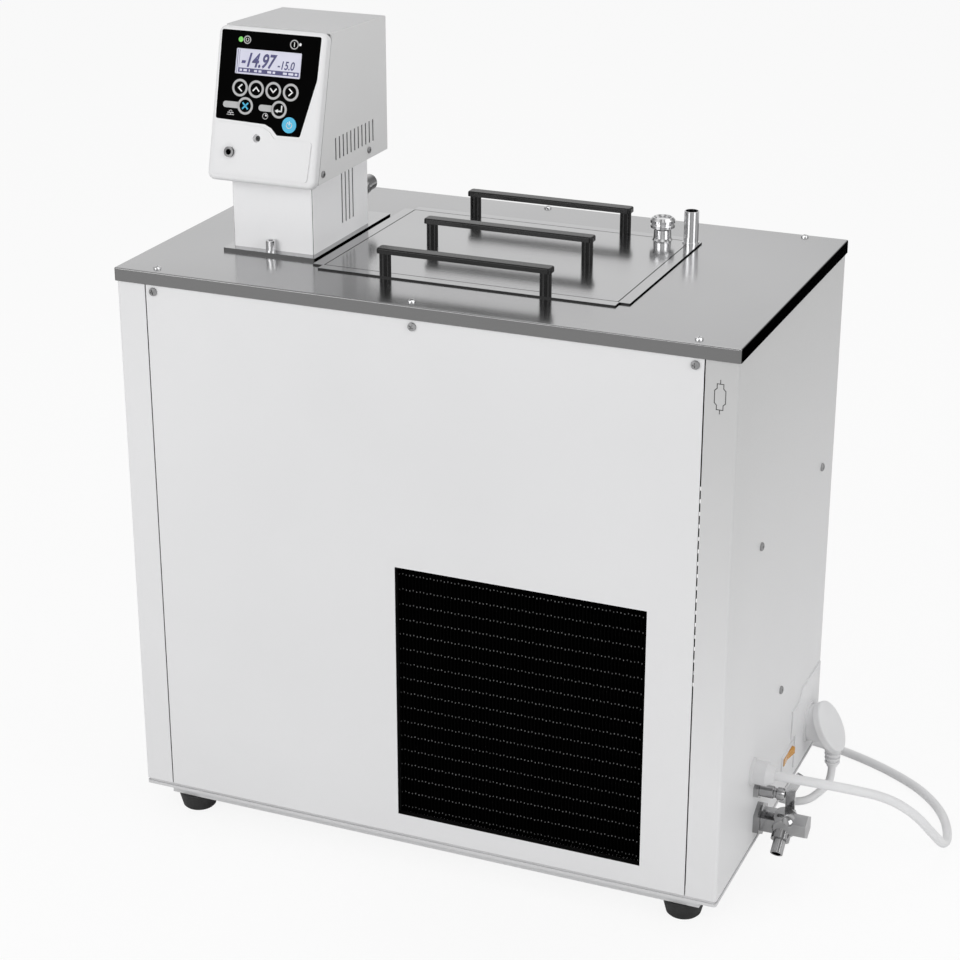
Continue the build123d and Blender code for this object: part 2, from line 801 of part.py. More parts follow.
def probe_place():
    """Where the temperature probe goes through the flange."""
    return (hx, pump_y() - 32.0)


def pump_motor():
    """The motor on its bracket, which stands on the head's tray."""
    z0 = motor_z()
    body = rod((hx, pump_y(), z0), (hx, pump_y(), z0 + 76), motor_r)
    body = fillet(body.edges().filter_by(GeomType.CIRCLE), 3.0)
    body += rod((hx, pump_y(), z0 - 3), (hx, pump_y(), z0 + 2), 12.0)
    plate = block(hx - column_w / 2 + 3, pump_y() - 20, head_z + sheet, hx + column_w / 2 - 3, pump_y() + 20,
                  head_z + sheet + 3)
    body += plate
    return body - rod((hx, pump_y(), head_z), (hx, pump_y(), z0 + 30), shaft_r + run_gap)


def pump_shaft():
    """The long shaft from the motor down to the impeller."""
    return rod((hx, pump_y(), pump_z() - 3), (hx, pump_y(), motor_z() + 28), shaft_r)


def pump_impeller():
    """The closed impeller: a disc, a hub and six backswept blades."""
    z = pump_z()
    disc = rod((hx, pump_y(), z + 6), (hx, pump_y(), z + 8), impeller_r)
    hub = rod((hx, pump_y(), z), (hx, pump_y(), z + 12), 6.0)
    made = disc + hub
    for i in range(6):
        blade = Pos(hx, pump_y(), z + 3.5) * Rot(0, 0, 60 * i) * Pos(10.5, 2.5, 0) * Rot(0, 0, 35) * Box(12, 1.4, 6)
        made += blade
    return made - rod((hx, pump_y(), z - 1), (hx, pump_y(), z + 13), shaft_r)


def pump_housing():
    """The pump's bowl, its outlet stub and the struts up to the flange."""
    z = pump_z() - 8
    bowl = rod((hx, pump_y(), z), (hx, pump_y(), z + 26), housing_r)
    bowl -= rod((hx, pump_y(), z + 3), (hx, pump_y(), z + 23), housing_r - 3)
    bowl -= rod((hx, pump_y(), z - 1), (hx, pump_y(), z + 4), 10.0)
    bowl -= rod((hx, pump_y(), z + 22), (hx, pump_y(), z + 27), shaft_r + 3.5)
    stub = pipe((hx + housing_r - 2, pump_y(), z + 12), (hx + housing_r + 22, pump_y(), z + 12), 6.0, 4.5)
    made = bowl + stub
    for x, y in pump_strut_places():
        made += rod((x, y, z + 25), (x, y, deck_z + flange_t), strut_r)
    return made


def heater_coil():
    """The heater rod: down from the flange, round below the pump and up again."""
    (x0, y), (x1, _) = heater_tails()
    z1, z0 = deck_z + flange_t + 5, pump_z() - 30
    pts = [(x0, y, z1), (x0, y, z0 + 40), (x0 - 14, y + 4, z0), (x0 - 14, y - 50, z0), (x1 + 14, y - 50, z0 - 1),
           (x1 + 14, y + 4, z0), (x1, y, z0 + 40), (x1, y, z1)]
    path = FilletPolyline(*pts, radius=9.0)
    return sweep(Plane(origin=path @ 0, z_dir=path % 0) * Circle(tail_r), path=path)


def temperature_probe():
    """The thin probe beside the pump, with its collar on the flange."""
    x, y = probe_place()
    z = deck_z + flange_t
    tip = rod((x, y, pump_z() + 20), (x, y, z + 12), 2.4)
    return tip + rod((x, y, z), (x, y, z + 6), tail_r + 2)


def pump_fittings():
    """The outlet and return unions behind the neck, each with a hexagon and a thread."""
    made = []
    for x in fitting_places():
        y = column_y1
        z = column_z0 + union_h
        hexagon = extrude(Plane(origin=(x, y, z), z_dir=(0, 1, 0)) * RegularPolygon(9.5, 6), 7)
        thread = rod((x, y - 6, z), (x, y + 26, z), union_r)
        ring = rod((x, y + 7, z), (x, y + 12, z), 9.2)
        fitting = hexagon + thread + ring
        made.append(fitting - rod((x, y - 7, z), (x, y + 27, z), 5.0))
    return made


union_r = 8.0
union_h = 33.0
union_apart = 62.0


def fitting_places():
    """X of the two unions."""
    return [hx - union_apart / 2, hx + union_apart / 2]


# Cooling machine

def condenser_y():
    """Front of the condenser's fins."""
    return skin_f + window_lip + fin_gap


def fin_box():
    """The fin block's corners in X and Z."""
    return (window_x0 - fin_margin, window_x1 + fin_margin, window_z - fin_margin, window_z1 + fin_margin)


def condenser_fins():
    """The fin plates, standing side by side across the window, with a thicker plate at each end."""
    x0, x1, z0, z1 = fin_box()
    y0 = condenser_y()
    count = int((x1 - x0 - 4) // fin_pitch)
    start = (x0 + x1) / 2 - (count - 1) / 2 * fin_pitch
    plates = [block(start + i * fin_pitch - fin_t / 2, y0, z0, start + i * fin_pitch + fin_t / 2, y0 + fin_depth, z1)
              for i in range(count)]
    ends = [block(x, y0 - 1, z0 - 8, x + 1.5, y0 + fin_depth + 1, z1) for x in (x0 - 1.5, x1)]
    return plates + ends


def condenser_tubes():
    """One tube that runs to and fro through the fins."""
    x0, x1, z0, z1 = fin_box()
    y = condenser_y() + fin_depth * 0.3
    rows = int((z1 - z0 - 8) // tube_pitch)
    bottom = (z0 + z1) / 2 - (rows - 1) / 2 * tube_pitch
    r = tube_pitch / 2
    a, b = x0 - 1.5 - tube_overhang + r, x1 + 1.5 + tube_overhang - r
    lines = []
    for i in range(rows):
        z = bottom + i * tube_pitch
        lines.append(Line((a - (6 if i == 0 else 0), y, z), (b, y, z)))
        if i < rows - 1:
            x, out = (b, r) if i % 2 == 0 else (a, -r)
            lines.append(ThreePointArc((x, y, z), (x + out, y, z + r), (x, y, z + tube_pitch)))
    path = Wire(lines)
    start = Plane(origin=(a - 6, y, bottom), z_dir=(1, 0, 0))
    return sweep(start * Circle(tube_r), path=path, transition=Transition.RIGHT)


shroud_t = 1.5
shroud_depth = 34.0
fan_r = 105.0
fan_gap = 5.0


def fan_middle():
    """Centre of the fan in X and Z."""
    return (window_x0 + window_x1) / 2, (window_z + window_z1) / 2


def shroud_y():
    """Front of the fan's shroud, behind the fins."""
    return condenser_y() + fin_depth + 1.5


def fan_shroud():
    """The sheet hood from the fins to the fan ring, with the arms that hold the motor."""
    x0, x1, z0, z1 = fin_box()
    cx, cz = fan_middle()
    y0 = shroud_y()
    y1 = y0 + shroud_depth
    hood = block(x0, y0, z0, x1, y1, z1)
    hood -= block(x0 + shroud_t, y0 - 1, z0 + shroud_t, x1 - shroud_t, y1 - shroud_t, z1 - shroud_t)
    hood -= rod((cx, y1 - 5, cz), (cx, y1 + 5, cz), fan_r + fan_gap)
    ring = pipe((cx, y1 - shroud_t, cz), (cx, y1 + 22, cz), fan_r + fan_gap + shroud_t, fan_r + fan_gap)
    hood += ring
    reach = fan_r + fan_gap + shroud_t
    for z in (cz - 14, cz + 14):
        hood += block(cx - reach + 2, y1 + 18, z - 4, cx + reach - 2, y1 + 22, z + 4)
    return hood


def fan_motor():
    """The fan's motor with its stub shaft towards the blades."""
    cx, cz = fan_middle()
    y1 = shroud_y() + shroud_depth + 22
    body = rod((cx, y1, cz), (cx, y1 + 46, cz), 34.0)
    body = fillet(body.edges().filter_by(GeomType.CIRCLE).sort_by(Axis.Y)[-1], 6.0)
    return body + rod((cx, y1 - 35, cz), (cx, y1 + 1, cz), 4.0)


def fan_blade():
    """The fan's rotor: a hub and five pitched blades."""
    cx, cz = fan_middle()
    y = shroud_y() + shroud_depth - 6
    hub = rod((cx, y - 9, cz), (cx, y + 14, cz), 20.0)
    blades = []
    for i in range(5):
        outer = extrude(Plane.XY * Pos(60, 0, -13) * Rectangle(88, 46), 26)
        slab = Rot(24, 0, 0) * Box(240, 120, 1.6)
        disc = Rot(0, 0, 0) * Cylinder(fan_r, 60)
        blade = outer & slab & disc
        blades.append(Pos(cx, y + 2, cz) * Rot(-90, 0, 0) * Rot(0, 0, 72 * i) * blade)
    for blade in blades:
        hub += blade
    return hub - rod((cx, y - 8, cz), (cx, y + 15, cz), 4.0 + run_gap)


comp_r = 72.0
comp_h = 165.0


def compressor_place():
    """Centre of the compressor in X and Y."""
    return x_left + 140.0, 5.0


def compressor():
    """The hermetic pot with its foot plate and three pipe stubs."""
    x, y = compressor_place()
    z = tray_top + 12
    profile = Polyline((0, z + 4), (comp_r - 16, z + 4), (comp_r, z + 26), (comp_r, z + 74), (comp_r + 3, z + 76),
                       (comp_r + 3, z + 82), (comp_r, z + 84), (comp_r - 3, z + comp_h - 30),
                       (comp_r - 24, z + comp_h - 6), (0, z + comp_h), close=True)
    pot = Pos(x, y, 0) * revolve(Plane.XZ * make_face(profile), Axis.Z)
    plate = block(x - 84, y - 60, z, x + 84, y + 60, z + 5)
    for px, py in compressor_bolts():
        plate -= rod((px, py, z - 1), (px, py, z + 6), grommet_r)
    stubs = rod((x + 30, y, z + 60), (x + comp_r + 14, y, z + 60), 4.5)
    stubs += rod((x - 20, y + 20, z + comp_h - 30), (x - 20, y + 20, z + comp_h + 14), 4.5)
    return pot + plate + stubs


grommet_r = 8.0


def compressor_bolts():
    """The four mounting points of the compressor."""
    x, y = compressor_place()
    return [(x + i * 74, y + j * 50) for i in (-1, 1) for j in (-1, 1)]


def compressor_grommets():
    """The rubber mounts, each a waisted ring under and over the foot plate."""
    made = []
    z = tray_top
    for x, y in compressor_bolts():
        profile = Polyline((0, z), (11, z), (11, z + 12), (grommet_r - 0.2, z + 12), (grommet_r - 0.2, z + 17),
                           (11, z + 17), (11, z + 21), (0, z + 21), close=True)
        made.append(Pos(x, y, 0) * revolve(Plane.XZ * make_face(profile), Axis.Z))
    return made


def refrigerant_pipe():
    """The hot-gas pipe from the compressor to the foot of the condenser."""
    x, y = compressor_place()
    z = tray_top + 12 + 60
    x0, x1, z0, z1 = fin_box()
    rows = int((z1 - z0 - 8) // tube_pitch)
    bottom = (z0 + z1) / 2 - (rows - 1) / 2 * tube_pitch
    end_x = x0 - 1.5 - tube_overhang + tube_pitch / 2 - 6
    end_y = condenser_y() + fin_depth * 0.3
    pts = [(x + comp_r + 14, y, z), (x + comp_r + 34, y, z), (x + comp_r + 34, y - 60, z - 20),
           (x + comp_r + 34, end_y, bottom), (end_x, end_y, bottom)]
    path = FilletPolyline(*pts, radius=[12.0, 30.0, 12.0])
    return sweep(Plane(origin=path @ 0, z_dir=path % 0) * Circle(tube_r), path=path)


# Fittings on the side

def side_socket():
    """The socket outlet for the head's supply: a stepped plate and a round well with two contact holes."""
    y, z = y_front + socket_y, socket_z
    plate = Plane(origin=(side_x, 0, 0), x_dir=(0, 1, 0), z_dir=(1, 0, 0))
    y0, y1 = y - 63.0, y_back - 8.0
    pts = [(y0 + 13, z - 28), (y1, z - 28), (y1, z + 51), (y0 + 35, z + 51), (y0 + 21, z + 41), (y0, z + 41),
           (y0, z + 10), (y0 + 13, z + 10)]
    body = extrude(plate * make_face(Polyline(*pts, close=True)), 1.6)
    body += rod((side_x - socket_depth - 2.5, y, z), (side_x + 4.0, y, z), socket_r)
    body -= rod((side_x - socket_depth, y, z), (side_x + 5.0, y, z), socket_r - 1.6)
    for dy in (-9.5, 9.5):
        body -= rod((side_x - socket_depth - 4, y + dy, z), (side_x, y + dy, z), 2.7)
    return body


def head_plug():
    """The angled plug on the head's cord, pressed into the socket, with its ribbed cord sleeve."""
    y, z = y_front + socket_y, socket_z
    r = socket_r - 1.6 - 0.4
    a = side_x - socket_depth + 0.4
    front = rod((a, y, z), (side_x + 4.0, y, z), r)
    slant = math.radians(plug_slant)
    outer = Plane(origin=(side_x + plug_out - 13.0, y, z), x_dir=(0, 1, 0), z_dir=(math.cos(slant), 0, math.sin(slant)))
    neck = rod((side_x + 4.0, y, z), (side_x + plug_out, y, z), socket_r - 2.0)
    neck -= extrude(outer.offset(-3.0) * Rectangle(200, 200), 80)
    disc = fillet(extrude(outer * Circle(plug_disc_r), -plug_disc_t).edges(), 1.5)
    plug = front + neck + disc
    x = plug_sleeve_x()
    top = z - socket_r + 4
    sleeve = Pos(x, y, top) * extrude(Plane(origin=(0, 0, 0), z_dir=(0, 0, -1)) * Circle(7.2), sleeve_l, taper=3.5)
    for i in range(3):
        sleeve += rod((x, y, top - 7 - 5 * i), (x, y, top - 9.5 - 5 * i), 7.6 - 0.5 * i)
    plug += sleeve
    for dy in (-9.5, 9.5):
        plug += rod((a - 18, y + dy, z), (a + 1, y + dy, z), 2.4)
    return plug


plug_out = 40.0
plug_slant = 30.0
plug_disc_r = 27.0
plug_disc_t = 8.0
sleeve_l = 28.0


def plug_sleeve_x():
    """Middle of the plug's cord sleeve."""
    return side_x + plug_out - 11.0


def plug_cord_end():
    """Where the head's cord enters the plug's sleeve."""
    return plug_sleeve_x(), y_front + socket_y, socket_z - socket_r + 4 - sleeve_l


def mains_gland():
    """The white screwed gland of the mains cable."""
    y, z = y_front + gland_y, gland_z
    x = side_x
    body = rod((x - sheet - 8, y, z), (x, y, z), gland_r)
    body += rod((x, y, z), (x + 3, y, z), 13.0)
    body += rod((x + 3, y, z), (x + 15, y, z), 11.5)
    dome = extrude(Plane(origin=(x + 15, y, z), z_dir=(1, 0, 0)) * Circle(11.0), gland_l - 15, taper=25)
    nut = extrude(Plane(origin=(x - sheet - 5, y, z), z_dir=(1, 0, 0)) * RegularPolygon(12, 6), 5)
    return body + dome + nut


gland_l = 22.0


def switch_frame():
    """The frame of the mains switch, clipped into the side."""
    y, z = y_front + switch_y, switch_z
    w, h = switch_cut_w, switch_cut_h
    bezel = block(side_x, y - w / 2 - 2, z - h / 2 - 2, side_x + 1.6, y + w / 2 + 2, z + h / 2 + 2)
    case = block(side_x - 20, y - w / 2 + 0.2, z - h / 2 + 0.2, side_x + 1, y + w / 2 - 0.2, z + h / 2 - 0.2)
    hole = block(side_x - 14, y - w / 2 + 1.6, z - h / 2 + 1.4, side_x + 3, y + w / 2 - 1.6, z + h / 2 - 1.4)
    frame = bezel + case - hole
    return frame + rod((side_x - 4, y, z - h / 2 + 1), (side_x - 4, y, z + h / 2 - 1), 1.2)


def switch_rocker():
    """The orange rocker, which turns on the frame's pin."""
    y, z = y_front + switch_y, switch_z
    half = switch_cut_w / 2 - 2.4
    side = Plane(origin=(0, 0, z - switch_cut_h / 2 + 1.8), z_dir=(0, 0, 1))
    px = side_x - 4
    pts = [(px - 3.5, y - 7), (side_x + 0.4, y - half), (side_x + 2.4, y - half), (side_x + 1.6, y),
           (side_x + 4.6, y + half - 0.6), (side_x + 0.4, y + half), (px - 3.5, y + 7)]
    body = extrude(side * make_face(Polyline(*pts, close=True)), switch_cut_h - 3.6)
    return body - rod((px, y, z - 10), (px, y, z + 10), 1.2 + run_gap)


def overflow_nipple():
    """The turned overflow nipple with its hexagon, plain land and one groove near the end."""
    y, z = y_front + nipple_y, nipple_z
    x = side_x
    hexagon = extrude(Plane(origin=(x, y, z), z_dir=(1, 0, 0)) * RegularPolygon(9.0, 6), 5)
    end = nipple_l
    turned = Polyline((-sheet - 8, 0), (-sheet - 8, thread_r), (1, thread_r), (1, nipple_r), (end - 11, nipple_r),
                      (end - 10, nipple_groove_r), (end - 8, nipple_groove_r), (end - 7, nipple_r),
                      (end - 2, nipple_r), (end, nipple_r - 1.5), (end, 0), close=True)
    body = Pos(x, y, z) * revolve(Plane.XZ * Pos(0, 0) * make_face(turned), Axis.X)
    return hexagon + body - rod((x - 20, y, z), (x + 40, y, z), 3.2)


nipple_r = 6.0
nipple_groove_r = 4.8
nipple_l = 29.0


def drain_valve():
    """The drain tap: nut, hexagon, round body, end cap and the slanting outlet with its bore."""
    y, z = y_front + valve_y, valve_z
    x = side_x
    along = Plane(origin=(x, y, z), z_dir=(1, 0, 0))
    body = rod((x - sheet - 10, y, z), (x + 2, y, z), valve_thread_r)
    body += extrude(along * RegularPolygon(valve_nut_af / 2, 6, major_radius=False), valve_nut_t)
    body += extrude(along * Pos(0, 0, valve_nut_t) * RegularPolygon(12.0, 6, major_radius=False), 14)
    ball = Pos(x + valve_centre, y, z) * Sphere(15.0)
    body += ball & block(x + 10, y - 13, z - 13, x + 46, y + 13, z + 13)
    cap = extrude(along * Pos(0, 0, valve_centre + 8) * RegularPolygon(10.5, 6, major_radius=False),
                  valve_nut_t + valve_body_l - valve_centre - 8)
    body += cap
    boss = rod((x + valve_centre, y + 8, z), (x + valve_centre, y + 16.5, z), 6.5)
    body += boss
    sx, sy, sz = outlet_start()
    dy, dz = outlet_dir()
    body += rod((sx, sy, sz), (sx, sy + 18 * dy, sz + 18 * dz), 9.0)
    body += rod((sx, sy, sz), (sx, sy + outlet_l * dy, sz + outlet_l * dz), outlet_r)
    body -= rod((sx, sy + 6 * dy, sz + 6 * dz), (sx, sy + (outlet_l + 1) * dy, sz + (outlet_l + 1) * dz),
                outlet_bore_r)
    return body - rod((x + valve_centre, y + 9, z), (x + valve_centre, y + 18, z), stem_r + run_gap)


valve_centre = 27.0


def outlet_start():
    """Centre of the tap's ball, where its outlet starts."""
    return side_x + valve_centre, y_front + valve_y, valve_z


def outlet_dir():
    """The outlet's slant, forward and down."""
    a = math.radians(outlet_angle)
    return -math.cos(a), -math.sin(a)


def valve_lever():
    """The tap's lever: a stem in the boss and a cranked flat grip, upright when the tap is shut."""
    x, y, z = side_x + valve_centre, y_front + valve_y, valve_z
    stem = rod((x, y + 9.5, z), (x, y + 21, z), stem_r)
    hub = rod((x, y + 17, z), (x, y + 21, z), 6.0)
    side = Plane(origin=(x, y + 17, z), x_dir=(1, 0, 0), z_dir=(0, 1, 0))
    grip = block(x - 4.5, y + 17, z, x + 4.5, y + 20, z + 26)
    bend = Pos(x + 4.2, y + 18.5, z + 34) * Rot(0, 26, 0) * Box(9.0, 3.0, 22)
    return stem + hub + grip + fillet(bend.edges().filter_by(Axis.Y), 1.5)


# Cords

def run_radii(points):
    """The bend radius at each inner point: as large as the two runs there allow."""
    v = [Vector(*p) for p in points]
    radii = []
    for a, b, c in zip(v, v[1:], v[2:]):
        turn = math.radians((b - a).get_angle(c - b))
        radii.append(0.45 * min((b - a).length, (c - b).length) / math.tan(turn / 2))
    return radii


def cord_tube(name, points, d):
    """The plain tube of a cord: straight runs joined by tangent arcs."""
    radii = run_radii(points)
    path = FilletPolyline(*points, radius=radii)
    tube = sweep(Plane(origin=path @ 0, z_dir=path % 0) * Circle(d / 2), path=path)
    print(name, "length", round(path.length), "radii", [round(r) for r in radii],
          "volume ratio", round(tube.volume / (math.pi * d * d / 4 * path.length), 4))
    return tube


def from_side(points):
    """Puts points given from the side's outer face, the deck's front edge and the floor in place."""
    return [(side_x + x, y_front + y, z) for x, y, z in points]


def mains_points():
    """The mains cable: out of its gland, down in a loose bend and back along the floor to its coil."""
    end_x, end_y, end_z = coil_entry()
    out = [(gland_l, gland_y, gland_z), (58, gland_y + 0.5, gland_z + 0.5), (93, gland_y + 5, gland_z - 1.5),
           (124, 128, 108), (146, 153, 82), (159, 184, 46), (164, 219, 15), (161, 257, 4.7), (147, 297, 4.6),
           (119, 333, 4.7), (82, 359, 4.6), (40, 379, 4.7), (-5, 393, 4.6), (-48, 398.5, 4.7)]
    return from_side(out) + [(end_x + 38, end_y - 0.8, end_z), (end_x, end_y, end_z)]


coil_mid_r = 50.0
coil_layers = 3
coil_from_side = -165.0
coil_behind = 450.0


def coil_centre():
    """Centre of the coil on the floor behind the cabinet."""
    return side_x + coil_from_side, y_front + coil_behind


def coil_entry():
    """Where the cable runs into the coil, along its front side."""
    x, y = coil_centre()
    return x, y - coil_mid_r, mains_d / 2 + 0.1


def mains_coil():
    """The wound length of the mains cable, as one closed ring."""
    x, y = coil_centre()
    h = coil_layers * mains_d
    ring = Pos(x, y, 0.1) * extrude(Circle(coil_mid_r + mains_d) - Circle(coil_mid_r - mains_d), h)
    return ring


def mains_plug():
    """The mains plug beside the coil: a round body lying on its side, a cord sleeve and two pins."""
    x, y = coil_centre()
    r = 18.0
    start = Vector(x - 4, y - coil_mid_r - mains_d / 2, r + 0.1)
    along = Vector(-1, 0, 0)

    def at(distance):
        return start + along * distance

    body = rod(at(43), at(71), r)
    body = fillet(body.edges().filter_by(GeomType.CIRCLE), 2.0)
    body += extrude(Plane(origin=at(44), z_dir=-along) * Circle(14.0), 14, taper=18)
    body += extrude(Plane(origin=at(31), z_dir=-along) * Circle(8.0), 31, taper=4)
    for side in (-9.5, 9.5):
        body += rod(at(70) + Vector(0, side, 0), at(90) + Vector(0, side, 0), 2.4)
    return body


def head_points():
    """The head's cord: out of its bush, over the deck's back edge, down and along the floor to the plug."""
    ex, ey, ez = plug_cord_end()
    bx = bush_x()
    by = cover_y1 + bush_l
    bz = head_cord_z()
    y = y_back
    out = [(bx, by, bz), (bx, by + 28, bz), (bx - 9, by + 56, bz - 6), (bx - 20, by + 82, bz - 26),
           (bx - 28, by + 101, bz - 58), (bx - 32, by + 112, bz - 100)]
    drop = [(bx - 33, y + 26, 484), (bx - 32, y + 28, 372), (bx - 33, y + 27, 258), (bx - 31, y + 28, 150),
            (bx - 27, y + 27, 78), (bx - 13, y + 26, 30), (bx + 19, y + 22, 6), (bx + 71, y + 16, 4.1),
            (bx + 143, y + 13, 4.2), (bx + 223, y + 14, 4.1), (bx + 298, y + 12, 4.2), (bx + 362, y + 12.6, 4.1)]
    under = from_side([(-88, 350, 4.1), (-72, 320, 4.2), (-58, 286, 4.1), (-24, 264, 4.2), (12, 262, 4.4)])
    last = [(ex - 2, ey - 14, 12), (ex, ey, ez - 14), (ex, ey, ez)]
    return out + drop + under + last


def main():
    save("base_tray", foot_holes(base_tray()))
    names = ("foot_front_left", "foot_front_right", "foot_rear_left", "foot_rear_right")
    for name, (x, y) in zip(names, foot_places()):
        save(name, foot(x, y))
    save("chassis_frame", chassis_frame())
    save("side_panel_left", left_panel())
    save("side_panel_right", right_panel())
    save("front_panel", front_panel())
    save("back_panel", back_panel())
    save("top_deck", top_deck())
    save("panel_screws", screws_of_panels())
    save("deck_screws", screws_of_deck())
    save("bath_tub", bath_tub())
    save("bath_insulation", bath_insulation())
    save("evaporator_coil", evaporator_coil())
    save("bath_lid", bath_lid())
    for name, y in zip(("lid_handle_front", "lid_handle_middle", "lid_handle_rear"), handle_lines()):
        save(name, lid_handle(y))
    save("lid_stopper", lid_stopper())
    save("lid_tube", lid_tube())
    save("head_flange", head_flange())
    save("thumb_nuts", thumb_nuts())
    save("head_column", head_column())
    save("head_cover", head_cover())
    save("head_bezel", head_bezel())
    save("keypad_film", keypad_film())
    save("display_window", display_window())
    save("limit_adjuster", limit_adjuster())
    save("sensor_socket", sensor_socket())
    save("head_screws", screws_of_head())
    save("head_cord_bush", head_cord_bush())
    save("pump_motor", pump_motor())
    save("pump_shaft", pump_shaft())
    save("pump_impeller", pump_impeller())
    save("pump_housing", pump_housing())
    save("heater_coil", heater_coil())
    save("temperature_probe", temperature_probe())
    save("pump_fittings", pump_fittings())
    save("compressor", compressor())
    save("compressor_grommets", compressor_grommets())
    save("condenser_fins", condenser_fins())
    save("condenser_tubes", condenser_tubes())
    save("fan_shroud", fan_shroud())
    save("fan_motor", fan_motor())
    save("fan_blade", fan_blade())
    save("refrigerant_pipe", refrigerant_pipe())
    save("side_socket", side_socket())
    save("head_plug", head_plug())
    save("head_cord", cord_tube("head_cord", head_points(), head_cord_d))
    save("mains_gland", mains_gland())
    save("mains_cable", cord_tube("mains_cable", mains_points(), mains_d))
    save("mains_coil", mains_coil())
    save("mains_plug", mains_plug())
    save("switch_frame", switch_frame())
    save("switch_rocker", switch_rocker())
    save("overflow_nipple", overflow_nipple())
    save("drain_valve", drain_valve())
    save("valve_lever", valve_lever())


main()
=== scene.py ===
import bpy
import bmesh
import math
from mathutils import Matrix, Vector


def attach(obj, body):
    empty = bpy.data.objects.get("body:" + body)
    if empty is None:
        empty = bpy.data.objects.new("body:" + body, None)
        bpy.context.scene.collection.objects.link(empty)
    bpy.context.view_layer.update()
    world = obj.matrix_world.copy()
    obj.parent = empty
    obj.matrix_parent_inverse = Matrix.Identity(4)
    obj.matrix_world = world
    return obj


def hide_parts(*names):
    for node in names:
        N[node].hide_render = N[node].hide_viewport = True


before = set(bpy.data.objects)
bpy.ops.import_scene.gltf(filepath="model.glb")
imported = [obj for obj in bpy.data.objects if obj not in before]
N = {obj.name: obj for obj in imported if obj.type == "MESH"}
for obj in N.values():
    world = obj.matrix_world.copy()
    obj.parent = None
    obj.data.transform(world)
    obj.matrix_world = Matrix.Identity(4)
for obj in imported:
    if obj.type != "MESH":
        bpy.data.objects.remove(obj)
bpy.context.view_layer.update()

# Places in millimetres, as the CAD has them
X_LEFT, X_RIGHT, SIDE_X = -323.8, 276.2, 274.7
Y_FRONT, Y_BACK, SKIN_F = -175.0, 175.0, -173.5
DECK_Z, LID_TOP = 572.0, 573.5
HEAD_X, HEAD_Z = X_LEFT + 115.0, 645.0
COVER_Y0, COVER_Y1 = Y_FRONT + 74.0, Y_FRONT + 236.0
COLUMN_Y0, COLUMN_Y1 = Y_FRONT + 97.0, Y_FRONT + 217.0
TILT = math.atan2(36.0, 134.0)


def mm(x, y, z):
    return Vector((x, y, z)) / 1000.0


def face(u, v, d=0.0):
    """A point of the head's leaning face: u to the right, v up it, d out of it, in millimetres."""
    s, c = math.sin(TILT), math.cos(TILT)
    return mm(HEAD_X - 54.0 + u, COVER_Y0 + s * v - c * d, HEAD_Z + c * v + s * d)


def front(u, v, d=0.0):
    """A point before the cabinet's front, measured from the deck's left edge and the floor."""
    return mm(X_LEFT + u, SKIN_F - d, v)


# Materials

def nodes_of(name):
    m = bpy.data.materials.new(name)
    m.use_nodes = True
    return m, m.node_tree, m.node_tree.nodes["Principled BSDF"]


def noise(nt, scale, stretch=(1, 1, 1), detail=3.0):
    """Noise over the piece's own coordinates, finer along an axis with a larger stretch."""
    coords = nt.nodes.new("ShaderNodeTexCoord")
    mapping = nt.nodes.new("ShaderNodeMapping")
    mapping.inputs["Scale"].default_value = stretch
    tex = nt.nodes.new("ShaderNodeTexNoise")
    tex.inputs["Scale"].default_value = scale
    tex.inputs["Detail"].default_value = detail
    nt.links.new(coords.outputs["Object"], mapping.inputs["Vector"])
    nt.links.new(mapping.outputs["Vector"], tex.inputs["Vector"])
    return tex.outputs["Fac"]


def between(nt, value, low, high):
    """The middle values of a noise, spread from low to high."""
    r = nt.nodes.new("ShaderNodeMapRange")
    r.inputs["From Min"].default_value = 0.3
    r.inputs["From Max"].default_value = 0.7
    r.inputs["To Min"].default_value = low
    r.inputs["To Max"].default_value = high
    nt.links.new(value, r.inputs["Value"])
    return r.outputs["Result"]


def ranged(nt, value, low, high):
    """How far a value lies between two others, from nothing to one."""
    r = nt.nodes.new("ShaderNodeMapRange")
    r.inputs["From Min"].default_value = low
    r.inputs["From Max"].default_value = high
    nt.links.new(value, r.inputs["Value"])
    return r.outputs["Result"]


def along(nt, what, axis):
    """One coordinate of the surface's Position or Normal."""
    geometry = nt.nodes.new("ShaderNodeNewGeometry")
    parts = nt.nodes.new("ShaderNodeSeparateXYZ")
    nt.links.new(geometry.outputs[what], parts.inputs["Vector"])
    return parts.outputs[axis]


def math_node(nt, operation, first, second=None):
    n = nt.nodes.new("ShaderNodeMath")
    n.operation = operation
    nt.links.new(first, n.inputs[0])
    if isinstance(second, (int, float)):
        n.inputs[1].default_value = second
    elif second is not None:
        nt.links.new(second, n.inputs[1])
    return n.outputs[0]


def in_box(nt, low, high):
    """One where the surface lies within a box given in millimetres, nothing elsewhere."""
    product = None
    for axis, a, b in zip("XYZ", low, high):
        off = math_node(nt, "SUBTRACT", along(nt, "Position", axis), (a + b) / 2000)
        near = math_node(nt, "LESS_THAN", math_node(nt, "ABSOLUTE", off), (b - a) / 2000)
        product = near if product is None else math_node(nt, "MULTIPLY", product, near)
    return product


def darkened(nt, color, amount, dark):
    """The colour, mixed towards another grey where amount is one: painted shade where that grey is darker,
    painted light where it is lighter.
    """
    mix = nt.nodes.new("ShaderNodeMix")
    mix.data_type = "RGBA"
    nt.links.new(amount, mix.inputs["Factor"])
    nt.links.new(color, mix.inputs["A"])
    mix.inputs["B"].default_value = (dark, dark, dark, 1)
    return mix.outputs["Result"]


def upright_share(nt, axis, low=0.5, high=0.95):
    """How far a surface faces along X or Y, from nothing to one."""
    return ranged(nt, math_node(nt, "ABSOLUTE", along(nt, "Normal", axis)), low, high)


def height_share(nt, low, high):
    """How far up a point lies between two heights in millimetres, from nothing to one."""
    return ranged(nt, along(nt, "Position", "Z"), low / 1000, high / 1000)
